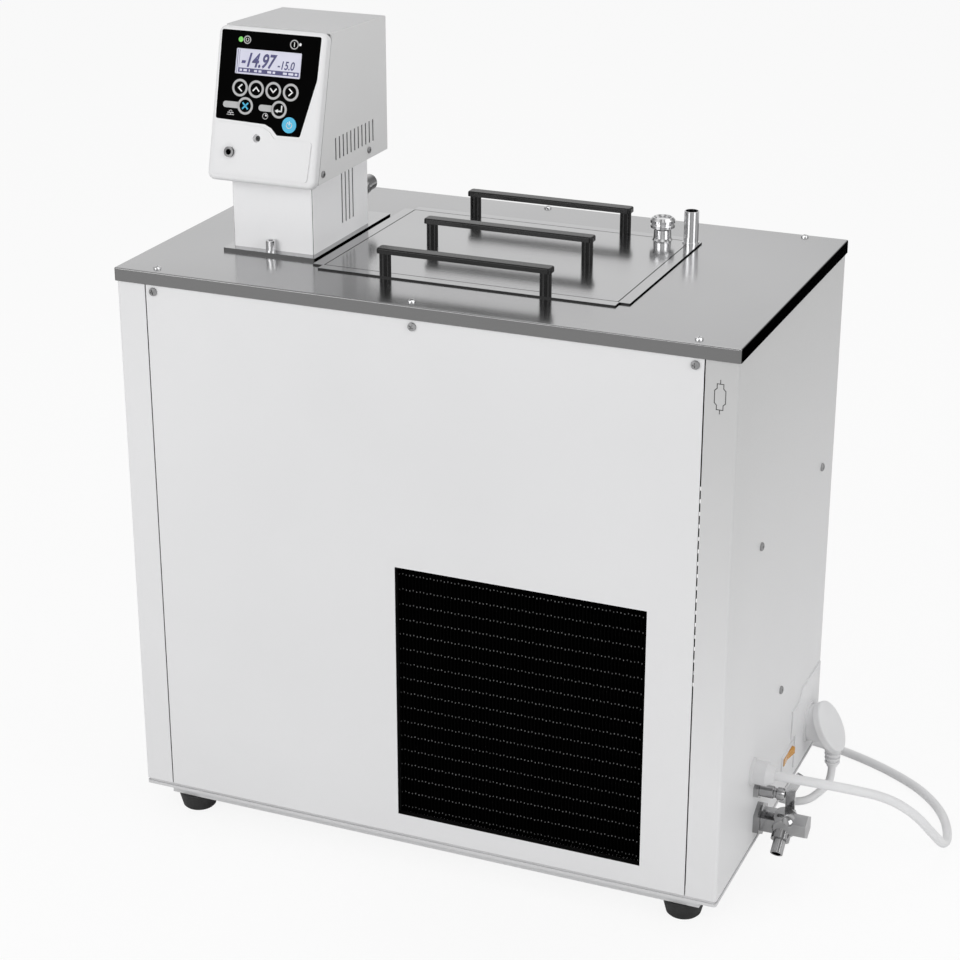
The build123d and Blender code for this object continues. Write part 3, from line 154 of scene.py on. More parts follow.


# Near-black grey painted as shade on hidden faces
INSIDE_SHADE_GREY = 0.004
# How much metal faces along X still mirror: below one, painted shade in their reflection
SIDE_GLOSS_SHADE = 0.2


def surface(name, dark, light, rough, metallic=0.0, tone=4.0, grain=900.0, grain_stretch=(1, 1, 1),
            bump=0.02, depth=0.0002, coat=0.0, specular=0.5, shaded_inside=None, painted_upright_greys=None, painted_top_shade=None):
    """A finish whose colour and gloss drift softly and whose fine grain shows as relief.

    inside names a box whose surfaces are painted near black as shade. edges gives the greys of the faces
    along Y and X, and how upright they are where these start and end: painted shade, and painted light on the
    head's shell; metal faces along X also mirror less, as painted shade. fade gives two heights and the grey
    at the upper, painted shade towards the top."""
    m, nt, b = nodes_of(name)
    tones = noise(nt, tone)
    ramp = nt.nodes.new("ShaderNodeValToRGB")
    ramp.color_ramp.elements[0].position = 0.3
    ramp.color_ramp.elements[1].position = 0.7
    ramp.color_ramp.elements[0].color = (*dark, 1)
    ramp.color_ramp.elements[1].color = (*light, 1)
    nt.links.new(tones, ramp.inputs["Fac"])
    color = ramp.outputs["Color"]
    # Upright faces get their own greys: painted shade, and on the head's shell painted light
    if painted_upright_greys:
        color = darkened(nt, color, upright_share(nt, "Y", *painted_upright_greys[2:]), painted_upright_greys[0])
        color = darkened(nt, color, upright_share(nt, "X", *painted_upright_greys[2:]), painted_upright_greys[1])
    # Metal faces along X mirror less: painted shade in their reflection
    if painted_upright_greys and metallic:
        white = nt.nodes.new("ShaderNodeRGB").outputs["Color"]
        white.default_value = (1, 1, 1, 1)
        tint = darkened(nt, white, upright_share(nt, "X"), SIDE_GLOSS_SHADE)
        nt.links.new(tint, b.inputs["Specular Tint"])
    # Painted shade: darker towards the top
    if painted_top_shade:
        low, high, grey_there = painted_top_shade
        color = darkened(nt, color, height_share(nt, low, high), grey_there)
    # Hidden faces within the box are painted near black as shade
    if shaded_inside:
        color = darkened(nt, color, in_box(nt, *shaded_inside), INSIDE_SHADE_GREY)
    nt.links.new(color, b.inputs["Base Color"])
    fine = noise(nt, grain, grain_stretch, 2.0)
    nt.links.new(between(nt, fine, rough[0], rough[1]), b.inputs["Roughness"])
    relief = nt.nodes.new("ShaderNodeBump")
    relief.inputs["Strength"].default_value = bump
    relief.inputs["Distance"].default_value = depth
    nt.links.new(fine, relief.inputs["Height"])
    nt.links.new(relief.outputs["Normal"], b.inputs["Normal"])
    b.inputs["Metallic"].default_value = metallic
    b.inputs["Coat Weight"].default_value = coat
    b.inputs["Coat Roughness"].default_value = 0.08
    b.inputs["Specular IOR Level"].default_value = specular
    return m


def grey(v):
    return (v, v, v * 1.01)


# Boxes within the sheets, whose hidden faces are painted near black as shade. FAR reaches beyond the piece
FAR = 2000.0
behind_skin = ((X_LEFT + 2.5, SKIN_F + 1.0, -FAR), (SIDE_X - 1.0, -SKIN_F - 1.0, FAR))
behind_front = ((X_LEFT, SKIN_F + 0.2, -FAR), (SIDE_X, -SKIN_F - 0.2, FAR))
in_cover = ((HEAD_X - 53.4, COVER_Y0 - 50, HEAD_Z - 50), (HEAD_X + 53.4, COVER_Y1 - 0.9, HEAD_Z + 95))
in_neck = ((HEAD_X - 41.4, COLUMN_Y0 + 0.8, DECK_Z), (HEAD_X + 41.4, COLUMN_Y1 - 0.8, HEAD_Z))
CASE = dict(rough=(0.32, 0.42), grain=700, bump=0.05, tone=3)
# White paint on the panels; hidden faces are painted near black as shade, and the right side gets painted
# shade towards its top
white_paint = surface("white_paint", grey(0.76), grey(0.80), shaded_inside=behind_skin, **CASE)
front_paint = surface("front_paint", grey(0.76), grey(0.80), shaded_inside=behind_front, **CASE)
side_paint = surface("side_paint", grey(0.74), grey(0.78), shaded_inside=behind_skin,
                     painted_top_shade=(150.0, 560.0, 0.54), **CASE)
tray_paint = surface("tray_paint", grey(0.62), grey(0.68), (0.35, 0.45), grain=700, bump=0.05)
# White column paint raised near full white as painted light for the shade under the head; hidden faces
# painted near black as shade
neck_paint_lit = surface("neck_paint_lit", grey(0.96), grey(0.98), (0.35, 0.45), grain=800, bump=0.05, shaded_inside=in_neck)
# Grey shell paint whose upright faces are lighter as painted light; its hidden faces are painted near black
# as shade
shell_paint = surface("shell_paint", grey(0.55), grey(0.59), (0.38, 0.5), grain=900, bump=0.08,
                      shaded_inside=in_cover, painted_upright_greys=(0.62, 0.74))
bezel_paint = surface("bezel_plastic", grey(0.78), grey(0.82), (0.4, 0.5), grain=1100, bump=0.08)
BRUSHED = dict(metallic=1.0, tone=2.2, grain=1.0, grain_stretch=(14, 1500, 1500), depth=0.00004)
# Brushed steel deck; its upright skirt faces are painted dark as shade, near black along X, and mirror less
# there
deck_steel = surface("deck_steel", grey(0.37), grey(0.45), (0.15, 0.2), bump=0.02,
                     painted_upright_greys=(0.2, 0.008), **BRUSHED)
# Brushed steel lid; its sloped and upright faces are painted near black as shade, and mirror less along X
lid_steel = surface("lid_steel", grey(0.42), grey(0.49), (0.14, 0.18), bump=0.015,
                    painted_upright_greys=(0.02, 0.02, 0.12, 0.5), **BRUSHED)
# Steel flange whose upright faces are painted dark as shade, and mirror less along X
flange_steel = surface("flange_steel", grey(0.42), grey(0.5), (0.14, 0.2), 1.0, tone=2.2, grain=900,
                       bump=0.02, painted_upright_greys=(0.06, 0.02))
tub_steel = surface("tub_steel", grey(0.43), grey(0.50), (0.2, 0.3), 1.0, tone=6, grain=900, bump=0.03)
chassis_steel = surface("chassis_steel", grey(0.02), grey(0.03), (0.5, 0.6), tone=60, grain=500, bump=0.1)
bright_steel = surface("bright_steel", grey(0.6), grey(0.66), (0.1, 0.18), 1.0, grain=900, bump=0.02)
chrome = surface("chrome", grey(0.62), grey(0.7), (0.06, 0.12), 1.0, grain=500, bump=0.02)
nickel = surface("nickel", grey(0.3), grey(0.5), (0.07, 0.14), 1.0, tone=30, grain=700, bump=0.08)
dark_nickel = surface("dark_nickel", grey(0.06), grey(0.14), (0.15, 0.25), 1.0, tone=60, grain=700, bump=0.08)
zinc = surface("zinc", grey(0.28), grey(0.4), (0.3, 0.4), 1.0, tone=60, grain=500, bump=0.1)
black_anodised = surface("black_anodised", grey(0.005), grey(0.009), (0.2, 0.3), grain=1200, bump=0.05,
                         specular=0.3)
black_plastic = surface("black_plastic", grey(0.015), grey(0.022), (0.4, 0.55), grain=900, bump=0.1)
rubber = surface("rubber", grey(0.012), grey(0.02), (0.55, 0.7), tone=60, grain=600, bump=0.3)
fin_black = surface("fin_black", grey(0.0015), grey(0.0025), (0.8, 0.95), tone=60, grain=600, specular=0.02)
tube_black = surface("tube_black", grey(0.01), grey(0.02), (0.25, 0.35), tone=200, grain=600, specular=0.3)
# Pale grey for the plates that stand for painted glints of the tubes
glint = surface("glint", grey(0.02), grey(0.16), (0.3, 0.4), tone=900, grain=900)
copper = surface("copper", (0.55, 0.25, 0.13), (0.7, 0.35, 0.2), (0.2, 0.35), 1.0, tone=60, grain=500)
foam = surface("foam", (0.7, 0.66, 0.45), (0.8, 0.76, 0.55), (0.8, 0.95), tone=60, grain=300, bump=0.5)
white_moulding = surface("white_moulding", grey(0.72), grey(0.78), (0.35, 0.45), tone=20, grain=900,
                         bump=0.08)
cord_white = surface("cord_white", grey(0.76), grey(0.82), (0.38, 0.48), tone=20, grain=900, bump=0.05)
amber = surface("amber", (0.56, 0.24, 0.004), (0.64, 0.29, 0.008), (0.22, 0.3), tone=40, grain=900,
                coat=0.4)
film_black = surface("film_black", grey(0.0005), grey(0.001), (0.4, 0.5), tone=40, grain=1500,
                     specular=0.01)
print_grey = surface("print_grey", grey(0.42), grey(0.46), (0.35, 0.45), tone=100, grain=1500)
print_white = surface("print_white", grey(0.78), grey(0.84), (0.35, 0.45), tone=100, grain=1500)
print_blue = surface("print_blue", (0.03, 0.42, 0.68), (0.05, 0.5, 0.76), (0.35, 0.45), tone=100, grain=1500)
led_green = surface("led_green", (0.1, 0.55, 0.03), (0.16, 0.7, 0.06), (0.2, 0.3), tone=100, grain=1500)
lcd_pale = surface("lcd_pale", (0.52, 0.52, 0.66), (0.62, 0.62, 0.74), (0.2, 0.26), tone=30, grain=1500,
                   bump=0.0, coat=0.3)
lcd_ink = surface("lcd_ink", (0.012, 0.01, 0.1), (0.03, 0.025, 0.17), (0.3, 0.4), tone=200, grain=1500)
ink = surface("ink", grey(0.03), grey(0.05), (0.4, 0.5), tone=100, grain=1500)

FINISH = {
    "base_tray": tray_paint, "chassis_frame": chassis_steel, "side_panel_left": white_paint,
    "side_panel_right": side_paint, "front_panel": front_paint, "back_panel": front_paint,
    "top_deck": deck_steel, "bath_tub": tub_steel, "bath_insulation": foam, "evaporator_coil": bright_steel,
    "bath_lid": lid_steel, "lid_stopper": chrome, "lid_tube": bright_steel, "head_flange": flange_steel,
    "thumb_nuts": chrome, "head_column": neck_paint_lit, "head_cover": shell_paint, "head_bezel": bezel_paint,
    "keypad_film": film_black, "display_window": lcd_pale, "limit_adjuster": black_plastic,
    "sensor_socket": dark_nickel, "head_cord_bush": white_moulding, "pump_motor": zinc,
    "pump_shaft": bright_steel, "pump_impeller": black_plastic, "pump_housing": tub_steel,
    "heater_coil": bright_steel,
    "temperature_probe": bright_steel, "pump_fittings": nickel, "compressor": black_plastic,
    "condenser_fins": fin_black, "condenser_tubes": tube_black, "fan_shroud": fin_black,
    "fan_motor": fin_black, "fan_blade": fin_black, "refrigerant_pipe": copper, "side_socket": white_moulding,
    "head_plug": cord_white, "mains_gland": white_moulding, "mains_plug": cord_white,
    "switch_frame": white_moulding, "switch_rocker": amber, "overflow_nipple": nickel, "drain_valve": nickel,
    "valve_lever": bright_steel, "panel_screws": zinc, "deck_screws": chrome, "head_screws": zinc,
}
for name, o in N.items():
    if name.startswith("foot") or name == "compressor_grommets":
        m = rubber
    elif name.startswith("lid_handle"):
        m = black_anodised
    else:
        m = FINISH.get(name, cord_white)
    o.data.materials.clear()
    o.data.materials.append(m)
    if name.startswith("lid_handle"):
        soft = o.modifiers.new("soft_edges", "BEVEL")
        soft.width = 0.0009
        soft.segments = 2
        soft.limit_method = "ANGLE"
        soft.angle_limit = math.radians(50)


# Helpers for added pieces

def add(name, mesh, material, body="cabinet"):
    """A piece made of a mesh and one material, on a body."""
    o = bpy.data.objects.new(name, mesh)
    bpy.context.scene.collection.objects.link(o)
    mesh.materials.clear()
    mesh.materials.append(material)
    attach(o, body)
    return o


def plates(name, shapes, place, low, high, material):
    """Thin flat plates, each a closed outline, between two heights over a face."""
    bm = bmesh.new()
    for shape in shapes:
        lo = [bm.verts.new(place(u, v, low)) for u, v in shape]
        hi = [bm.verts.new(place(u, v, high)) for u, v in shape]
        bm.faces.new(hi)
        bm.faces.new(lo[::-1])
        for i in range(len(shape)):
            j = (i + 1) % len(shape)
            bm.faces.new((lo[i], lo[j], hi[j], hi[i]))
    bmesh.ops.recalc_face_normals(bm, faces=bm.faces)
    mesh = bpy.data.meshes.new(name)
    bm.to_mesh(mesh)
    bm.free()
    add(name, mesh, material)


def stroke(points, w, closed=False):
    """Outlines of the short bars that draw a line of width w."""
    shapes = []
    pairs = list(zip(points, points[1:] + points[:1] if closed else points[1:]))
    for (x0, y0), (x1, y1) in pairs:
        dx, dy = x1 - x0, y1 - y0
        k = math.hypot(dx, dy) or 1
        dx, dy = dx / k, dy / k
        a, b = w / 2 * dx, w / 2 * dy
        shapes.append([(x0 - a + b, y0 - b - a), (x1 + a + b, y1 + b - a), (x1 + a - b, y1 + b + a),
                       (x0 - a - b, y0 - b + a)])
    return shapes


def arc(cx, cy, r, a0, a1, n=24):
    """Points round an arc, from one angle in degrees to another."""
    return [(cx + r * math.cos(math.radians(a0 + (a1 - a0) * i / n)),
             cy + r * math.sin(math.radians(a0 + (a1 - a0) * i / n))) for i in range(n + 1)]


def ring(cx, cy, r, w, n=40):
    """A flat ring as quads that share no corner with the next plate."""
    shapes = []
    for i in range(n):
        a, b = 2 * math.pi * i / n, 2 * math.pi * (i + 1) / n
        corners_of = ((r - w / 2, a), (r + w / 2, a), (r + w / 2, b), (r - w / 2, b))
        shapes.append([(cx + q * math.cos(t), cy + q * math.sin(t)) for q, t in corners_of])
    return shapes


def disc(cx, cy, r, n=40):
    return arc(cx, cy, r, 0, 360 - 360 / n, n - 1)


def bar(x0, y0, x1, y1, r):
    """A bar with a round left end."""
    return [(x1, y0), (x1, y1)] + arc(x0 + r, (y0 + y1) / 2, (y1 - y0) / 2, 90, 270, 12)


def words(name, text, size, u, v, d, material, slant, squeeze, bold):
    """Plain figures drawn on the head's face, as a thin mesh."""
    c = bpy.data.curves.new(name, "FONT")
    c.body = text
    c.size = size / 1000
    c.extrude = 0.00002
    c.shear = slant
    c.offset = bold / 1000
    o = bpy.data.objects.new(name, c)
    bpy.context.scene.collection.objects.link(o)
    bpy.context.view_layer.update()
    mesh = bpy.data.meshes.new_from_object(o.evaluated_get(bpy.context.evaluated_depsgraph_get()))
    bpy.data.objects.remove(o)
    for p in mesh.vertices:
        p.co = face(u + p.co.x * 1000 * squeeze, v + p.co.y * 1000, d + p.co.z * 1000)
    add(name, mesh, material)


# Print of the keypad, between these heights over the film

FILM = 0.02
INK = 0.07
rings = []
keys = [(25.7, 84.4), (42.3, 84.4), (59.9, 84.4), (77.7, 84.4), (32.6, 68.4), (67.3, 68.0)]
for u, v in keys:
    rings += ring(u, v, 6.9, 2.1)
rings += ring(29.2, 128.0, 3.3, 0.9) + ring(77.2, 127.3, 3.9, 0.9)
rings += ring(53.9, 60.9, 2.6, 0.6)
plates("key_rings", rings, face, FILM, INK, print_grey)
plates("key_tabs", [bar(9.6, 65.6, 25.6, 71.4, 2.9), bar(46.4, 65.2, 60.3, 71.0, 2.9)], face, FILM, INK,
       print_grey)
arrows = []
arrows += stroke([(27.4, 87.2), (24.2, 84.4), (27.4, 81.6)], 1.2)
arrows += stroke([(39.5, 82.9), (42.3, 86.0), (45.1, 82.9)], 1.2)
arrows += stroke([(57.1, 86.0), (59.9, 82.9), (62.7, 86.0)], 1.2)
arrows += stroke([(76.2, 87.2), (79.4, 84.4), (76.2, 81.6)], 1.2)
arrows += stroke([(69.9, 71.2), (69.9, 66.6), (65.4, 66.6)], 1.3)
plates("key_arrows", arrows + [[(63.2, 66.6), (66.2, 68.4), (66.2, 64.8)]], face, FILM, INK, print_white)
cross = stroke([(30.2, 70.8), (35.0, 66.0)], 1.4) + stroke([(30.2, 66.0), (35.0, 70.8)], 1.4)
plates("key_cross", cross, face, FILM, INK, print_blue)
marks = stroke(arc(29.2, 128.0, 1.5, 120, 420, 12), 0.5) + stroke([(77.2, 125.6), (77.2, 129.0)], 0.7)
marks += stroke(arc(18.1, 61.7, 1.6, 20, 200, 8), 0.5) + stroke([(15.2, 61.2), (21.0, 61.2)], 0.5)
marks += stroke([(18.1, 59.4), (18.1, 60.4)], 0.5) + stroke([(14.6, 59.4), (21.6, 59.4)], 0.4)
marks += [arc(53.9, 60.9, 1.7, 0, 90, 8) + [(53.9, 60.9)]]
plates("small_signs", marks, face, FILM, INK, print_white)
plates("status_lamps", [disc(22.6, 128.0, 2.4)], face, FILM, INK, led_green)
plates("alarm_lamp", [disc(83.2, 127.7, 1.3)], face, FILM, INK, print_white)
plates("power_key", [disc(78.9, 55.0, 7.2, 56)], face, FILM, INK, print_blue)
power = stroke(arc(78.9, 54.8, 2.7, 125, 415, 18), 0.7) + stroke([(78.9, 55.4), (78.9, 58.2)], 0.7)
plates("power_sign", power, face, INK, INK + 0.04, print_white)

# Display: figures, a second value and a bar of status blocks, just over the sunk window
LCD = -0.38
words("reading_large", "-14.97", 17.5, 24.0, 104.2, LCD + 0.03, lcd_ink, slant=0.3, squeeze=0.76, bold=0.5)
words("reading_small", "-15.0", 10.5, 61.5, 104.2, LCD + 0.03, lcd_ink, slant=0.2, squeeze=0.8, bold=0.2)
band = [(22.0, 98.6), (84.0, 98.6), (84.0, 102.6), (22.0, 102.6)]
plates("status_bar", [band], face, LCD, LCD + 0.04, lcd_ink)
blocks = [(23.5, 26.0), (27.5, 31.0), (33.0, 34.0), (38.5, 41.5), (43.0, 46.0), (52.0, 56.0), (57.5, 60.0),
          (68.0, 72.0), (73.5, 78.5), (80.0, 82.5)]
plates("status_blocks", [[(a, 99.6), (b, 99.6), (b, 101.6), (a, 101.6)] for a, b in blocks], face, LCD + 0.04,
       LCD + 0.06, lcd_pale)
margin = stroke([(20.6, 98.0), (20.6, 118.6)], 0.5) + stroke([(22.4, 98.0), (22.4, 118.6)], 0.3)
plates("display_line", margin, face, LCD, LCD + 0.03, lcd_ink)

# Outline sign on the right-hand return, a plain rectangle with stepped ends
sign = [(579.6, 516.0), (579.6, 520.0), (577.6, 522.0), (577.6, 533.0), (579.6, 535.0), (579.6, 539.0),
        (585.4, 539.0), (585.4, 535.0), (587.4, 533.0), (587.4, 522.0), (585.4, 520.0), (585.4, 516.0)]
lines = stroke(sign, 0.7, closed=True) + stroke([(582.5, 539.0), (582.5, 542.5)], 0.7)
lines += stroke([(582.5, 516.0), (582.5, 512.5)], 0.7)
plates("outline_sign", lines, front, 0.01, 0.06, ink)


# Screws with a cross recess

def lathe(profile, n=32):
    """A turned mesh about Z from points (radius, height), closed at the axis."""
    bm = bmesh.new()
    loops = []
    turns = [2 * math.pi * i / n for i in range(n)]
    for r, z in profile:
        if r < 1e-6:
            loops.append([bm.verts.new((0, 0, z))])
        else:
            loops.append([bm.verts.new((r * math.cos(t), r * math.sin(t), z)) for t in turns])
    for a, b in zip(loops, loops[1:]):
        for i in range(n):
            j = (i + 1) % n
            if len(a) == 1:
                bm.faces.new((a[0], b[j], b[i]))
            elif len(b) == 1:
                bm.faces.new((a[i], a[j], b[0]))
            else:
                bm.faces.new((a[i], a[j], b[j], b[i]))
    bmesh.ops.recalc_face_normals(bm, faces=bm.faces)
    return bm


def screw_mesh(name, r, h):
    """A pan head with a cross recess, pointing along +Z, in metres."""
    prof = [(0, -0.0004), (r, -0.0004), (r, h * 0.35), (r * 0.93, h * 0.72), (r * 0.72, h * 0.94),
            (r * 0.4, h), (0, h)]
    bm = lathe(prof, 36)
    mesh = bpy.data.meshes.new(name)
    bm.to_mesh(mesh)
    bm.free()
    head = bpy.data.objects.new(name, mesh)
    bpy.context.scene.collection.objects.link(head)
    cut = bmesh.new()
    for turn in (0, 90):
        m = Matrix.Rotation(math.radians(turn + 20), 4, "Z") @ Matrix.Translation((0, 0, h))
        m = m @ Matrix.Diagonal((r * 1.15, r * 0.24, h * 1.1, 1))
        bmesh.ops.create_cube(cut, size=1.0, matrix=m)
    cm = bpy.data.meshes.new(name + "_cut")
    cut.to_mesh(cm)
    cut.free()
    cutter = bpy.data.objects.new(name + "_cut", cm)
    bpy.context.scene.collection.objects.link(cutter)
    mod = head.modifiers.new("cut", "BOOLEAN")
    mod.object = cutter
    mod.operation = "DIFFERENCE"
    mod.solver = "EXACT"
    mod.use_self = True
    bpy.context.view_layer.update()
    made = bpy.data.meshes.new_from_object(head.evaluated_get(bpy.context.evaluated_depsgraph_get()))
    made.name = name
    bpy.data.objects.remove(head)
    bpy.data.objects.remove(cutter)
    return made


def set_screws(name, mesh, places, material, node):
    """Copies of one screw head, joined in one piece that stands for the node's screws.

    places lists where each head sits and where it points."""
    bm = bmesh.new()
    for i, (p, d) in enumerate(places):
        one = mesh.copy()
        turn = Matrix.Rotation(math.radians(37 * i), 4, "Z")
        one.transform(Matrix.Translation(p) @ Vector(d).to_track_quat("Z", "Y").to_matrix().to_4x4() @ turn)
        bm.from_mesh(one)
        bpy.data.meshes.remove(one)
    whole = bpy.data.meshes.new(name)
    bm.to_mesh(whole)
    bm.free()
    o = add(name, whole, material)
    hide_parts(node)


z = DECK_Z - 19.0
xs = (X_LEFT + 40.0, -23.8, X_RIGHT - 40.0)
panel = [(mm(x, SKIN_F, z), (0, -1, 0)) for x in xs] + [(mm(x, -SKIN_F, z), (0, 1, 0)) for x in xs]
ys = [(Y_FRONT + 96.0, DECK_Z - 217.0), (Y_BACK - 47.0, DECK_Z - 217.0), (Y_FRONT + 192.0, DECK_Z - 407.0)]
panel += [(mm(SIDE_X, y, h), (1, 0, 0)) for y, h in ys]
panel += [(mm(X_LEFT + 1.5, y, h), (-1, 0, 0)) for y, h in ys]
set_screws("panel_screw_heads", screw_mesh("pan_head", 0.004, 0.0024), panel, zinc, "panel_screws")
decks = [(mm(x, y, DECK_Z), (0, 0, 1)) for y in (Y_FRONT + 12.5, Y_BACK - 8.0)
         for x in (X_LEFT + 39.0, -28.8, X_RIGHT - 41.0)]
set_screws("deck_screw_heads", screw_mesh("deck_head", 0.0036, 0.002), decks, chrome, "deck_screws")
heads = [(mm(HEAD_X + s * 54.0, Y_FRONT + y, HEAD_Z + 8.5), (s, 0, 0)) for s in (-1, 1)
         for y in (96.0, 194.0)]
set_screws("head_screw_heads", screw_mesh("small_head", 0.0032, 0.0018), heads, zinc, "head_screws")


# Rows of small pale plates on the fin fronts where the tubes pass: painted glints of the tubes between the
# fins

def solid(name, bm, material):
    """A piece from a mesh under construction, which is then freed."""
    bmesh.ops.recalc_face_normals(bm, faces=bm.faces)
    mesh = bpy.data.meshes.new(name)
    bm.to_mesh(mesh)
    bm.free()
    add(name, mesh, material)


FIN_PITCH, TUBE_PITCH = 3.5, 15.3
corners = [v.co * 1000 for v in N["condenser_fins"].data.vertices]
fin_x0, fin_x1 = min(c.x for c in corners), max(c.x for c in corners)
fin_z0, fin_z1 = min(c.z for c in corners), max(c.z for c in corners)
fin_y = min(c.y for c in corners)
rows = int((fin_z1 - fin_z0 - 8) // TUBE_PITCH)
count = int((fin_x1 - fin_x0) / FIN_PITCH) + 1
bm = bmesh.new()
for j in range(rows):
    level = (fin_z0 + fin_z1) / 2 + (j - (rows - 1) / 2) * TUBE_PITCH
    for i in range(count):
        height = level + 0.5 * math.sin(i * 2.4)
        place = Matrix.Translation(mm(fin_x0 + 0.18 + i * FIN_PITCH, fin_y - 0.1, height))
        bmesh.ops.create_cube(bm, size=1.0, matrix=place @ Matrix.Diagonal((0.0008, 0.0005, 0.0012, 1)))
solid("tube_glints", bm, glint)

# Ribs of the plug's cord sleeve, each a little smaller than the one above
bm = bmesh.new()
for i in range(5):
    r = 0.0086 - 0.0003 * i
    rib = lathe([(0, -0.0012), (r, -0.0012), (r + 0.0004, 0), (r, 0.0012), (0, 0.0012)])
    rib.transform(Matrix.Translation(mm(SIDE_X + 29.0, Y_FRONT + 304.0, 54.0 - 4.6 * i)))
    ribs = bpy.data.meshes.new("rib")
    rib.to_mesh(ribs)
    rib.free()
    bm.from_mesh(ribs)
    bpy.data.meshes.remove(ribs)
solid("sleeve_ribs", bm, cord_white)


# Cords

def cord(name, points, d, material, nodes, **facts):
    """A round cord along points in millimetres, which stands for the nodes."""
    c = bpy.data.curves.new(name, "CURVE")
    c.dimensions = "3D"
    c.resolution_u = 12
    c.bevel_depth = d / 2000
    c.bevel_resolution = 8
    c.use_fill_caps = True
    s = c.splines.new("NURBS")
    s.points.add(len(points) - 1)
    for p, (x, y, z) in zip(s.points, points):
        p.co = (x / 1000, y / 1000, z / 1000, 1)
    s.order_u = 3
    s.use_endpoint_u = True
    o = bpy.data.objects.new(name, c)
    bpy.context.scene.collection.objects.link(o)
    c.materials.append(material)
    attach(o, "cabinet")
    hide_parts(*nodes)


def from_side(points):
    """Points measured from the right-hand side, the deck's front edge and the floor."""
    return [(SIDE_X + x, Y_FRONT + y, z) for x, y, z in points]


# Middle of the wound lead behind the cabinet
CX, CY = SIDE_X - 165.0, Y_FRONT + 450.0


def ease(a, a0, a1):
    """A soft rise from nothing to one between two angles."""
    t = min(max((a - a0) / (a1 - a0), 0), 1)
    return t * t * (3 - 2 * t)


def wound():
    """Four turns of the mains lead: two rings side by side, then two on top, each a diameter apart."""
    made = []
    for k in range(1, 96):
        a = 15.0 * k
        r = 54.5 - 9.0 * ease(a, 280, 355) + 9.0 * ease(a, 860, 930)
        z = 4.6 + 9.1 * ease(a, 570, 640) + 9.1 * ease(a, 1155, 1220)
        t = math.radians(-90 - a)
        made.append((CX + r * math.cos(t), CY + r * math.sin(t), z))
    return made


mains = from_side([(22, 105, 121), (58, 105.5, 121.5), (93, 110, 119.5), (124, 128, 108), (146, 153, 82),
                   (159, 184, 46), (164, 219, 15), (161, 257, 4.7), (147, 297, 4.6), (119, 333, 4.7),
                   (82, 359, 4.6), (40, 379, 4.7), (-5, 393, 4.6), (-48, 398, 4.7)])
mains += [(CX + 60, CY - 55.5, 4.6), (CX + 30, CY - 54.8, 4.6), (CX + 12, CY - 54.5, 4.6)] + wound()
mains += [(CX + 6, CY - 54.5, 22.6), (CX - 5, CY - 54.5, 19.4)]
cord("mains_lead", mains, 9.0, cord_white, ["mains_cable", "mains_coil"], length=1.98, far_end="plug",
     stiffness="medium", lay="coiled", with_pieces=["mains_plug"])

# From the bush in the head's back, down behind the cabinet and round to the plug's sleeve
bx, by, bz, y = HEAD_X - 30.0, COVER_Y1 + 22.5, HEAD_Z + 24.0, Y_BACK
lead = [(bx, by, bz), (bx, by + 28, bz), (bx - 9, by + 56, bz - 6), (bx - 20, by + 82, bz - 26),
        (bx - 28, by + 101, bz - 58), (bx - 32, by + 112, bz - 100), (bx - 33, y + 26, 484),
        (bx - 32, y + 28, 372), (bx - 33, y + 27, 258), (bx - 31, y + 28, 150),
        (bx - 27, y + 27, 78), (bx - 13, y + 26, 30),
        (bx + 19, y + 22, 6), (bx + 71, y + 16, 4.1), (bx + 143, y + 13, 4.2), (bx + 223, y + 14, 4.1),
        (bx + 298, y + 12, 4.2), (bx + 362, y + 12.6, 4.1)]
lead += from_side([(-88, 350, 4.1), (-72, 320, 4.2), (-58, 286, 4.1), (-24, 264, 4.2), (12, 262, 4.4)])
ex, ey, ez = SIDE_X + 29.0, Y_FRONT + 304.0, 31.0
lead += [(ex - 2, ey - 14, 12), (ex, ey, ez - 14), (ex, ey, ez)]
cord("head_lead", lead, 8.0, cord_white, ["head_cord"], length=1.35, far_end="object", stiffness="medium",
     lay="hanging")

# Camera, at the photograph's viewing angle

azimuth, elevation = math.radians(22.80), math.radians(22.24)
back = Vector((math.sin(azimuth) * math.cos(elevation), -math.cos(azimuth) * math.cos(elevation),
               math.sin(elevation)))
cam_data = bpy.data.cameras.new("camera")
cam_data.lens = 87.1
cam_data.sensor_width = 36.0
cam = bpy.data.objects.new("camera", cam_data)
bpy.context.scene.collection.objects.link(cam)
cam.location = mm(X_LEFT + 1104.4, Y_FRONT - 1758.3, DECK_Z + 626.7)
cam.rotation_mode = "QUATERNION"
cam.rotation_quaternion = (-back).to_track_quat("-Z", "Y")
bpy.context.scene.camera = cam

# Floor, world and lamps. The floor gives off light of its own to the camera, so that it ends in white

SEEN_GLOW, MIRRORED_GLOW = 0.88, 0.1
fm, nt, b = nodes_of("floor")
b.inputs["Base Color"].default_value = (0.92, 0.92, 0.92, 1)
b.inputs["Roughness"].default_value = 0.9
lp = nt.nodes.new("ShaderNodeLightPath")
seen_share = math_node(nt, "MULTIPLY", lp.outputs["Is Camera Ray"], SEEN_GLOW)
glossy_share = math_node(nt, "MULTIPLY", lp.outputs["Is Glossy Ray"], MIRRORED_GLOW)
share = math_node(nt, "MAXIMUM", seen_share, glossy_share)
glow = nt.nodes.new("ShaderNodeEmission")
glow.inputs["Strength"].default_value = 1.0
mix = nt.nodes.new("ShaderNodeMixShader")
nt.links.new(share, mix.inputs["Fac"])
nt.links.new(b.outputs["BSDF"], mix.inputs[1])
nt.links.new(glow.outputs["Emission"], mix.inputs[2])
nt.links.new(mix.outputs["Shader"], nt.nodes["Material Output"].inputs["Surface"])
bm = bmesh.new()
bmesh.ops.create_grid(bm, x_segments=1, y_segments=1, size=9.0)
ground = bpy.data.meshes.new("floor")
bm.to_mesh(ground)
bm.free()
floor = bpy.data.objects.new("floor", ground)
bpy.context.scene.collection.objects.link(floor)
ground.materials.append(fm)

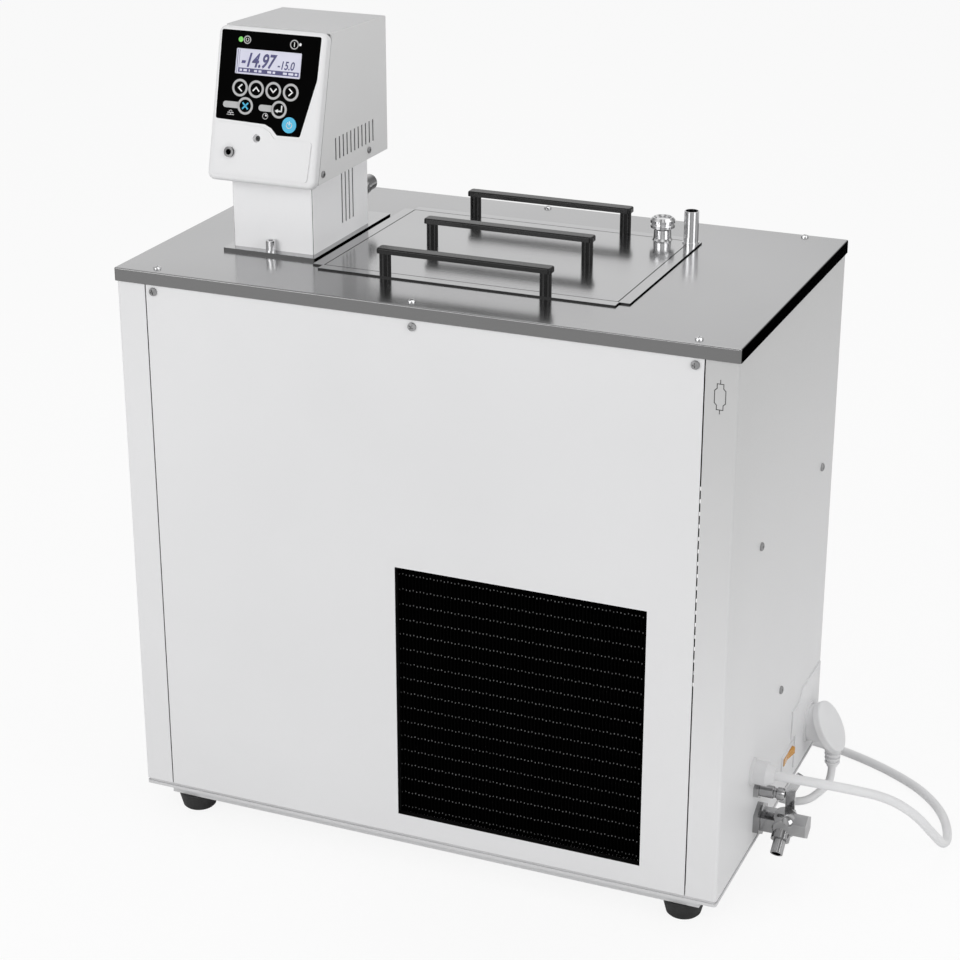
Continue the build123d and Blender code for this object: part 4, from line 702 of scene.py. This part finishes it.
# The world is white where it is seen, even and dimmer as light, and banded four times round in mirrors
EVEN_GLOW, BAND_MIDDLE, BAND_SWING, BAND_HEADING = 0.55, 0.64, 0.36, math.radians(113.0)
world = bpy.data.worlds.new("world")
bpy.context.scene.world = world
world.use_nodes = True
wt = world.node_tree
bg = wt.nodes["Background"]
lp = wt.nodes.new("ShaderNodeLightPath")
coords = wt.nodes.new("ShaderNodeTexCoord")
parts = wt.nodes.new("ShaderNodeSeparateXYZ")
wt.links.new(coords.outputs["Generated"], parts.inputs["Vector"])
heading = math_node(wt, "ARCTAN2", parts.outputs["Y"], parts.outputs["X"])
turned = math_node(wt, "MULTIPLY", math_node(wt, "SUBTRACT", heading, BAND_HEADING), 4.0)
swing = math_node(wt, "MULTIPLY", math_node(wt, "COSINE", turned), BAND_SWING)
bands = math_node(wt, "ADD", swing, BAND_MIDDLE)
seen = math_node(wt, "MAXIMUM", lp.outputs["Is Camera Ray"], lp.outputs["Is Transmission Ray"])
above_even = math_node(wt, "SUBTRACT", bands, EVEN_GLOW)
shine = math_node(wt, "MULTIPLY", lp.outputs["Is Glossy Ray"], above_even)
strength = math_node(wt, "MAXIMUM", math_node(wt, "ADD", shine, EVEN_GLOW), seen)
wt.links.new(strength, bg.inputs["Strength"])
bg.inputs["Color"].default_value = (1, 1, 1, 1)


def lamp(name, where, at, size, power):
    """A lamp with a rectangular face, aimed at a point, in metres and watts."""
    d = bpy.data.lights.new(name, "AREA")
    d.shape = "RECTANGLE"
    d.size, d.size_y = size
    d.energy = power
    o = bpy.data.objects.new(name, d)
    bpy.context.scene.collection.objects.link(o)
    o.location = where
    o.rotation_mode = "QUATERNION"
    o.rotation_quaternion = (Vector(at) - Vector(where)).to_track_quat("-Z", "Y")


lamp("key", (-1.4, -3.0, 1.7), (0, 0, 0.3), (2.0, 1.6), 34)
lamp("fill", (3.0, -1.2, 1.5), (0.1, 0, 0.3), (1.6, 1.6), 24)
lamp("top", (0.3, 0.8, 2.8), (0, 0, 0.5), (2.2, 1.6), 11)

bpy.context.scene.view_settings.view_transform = "Standard"
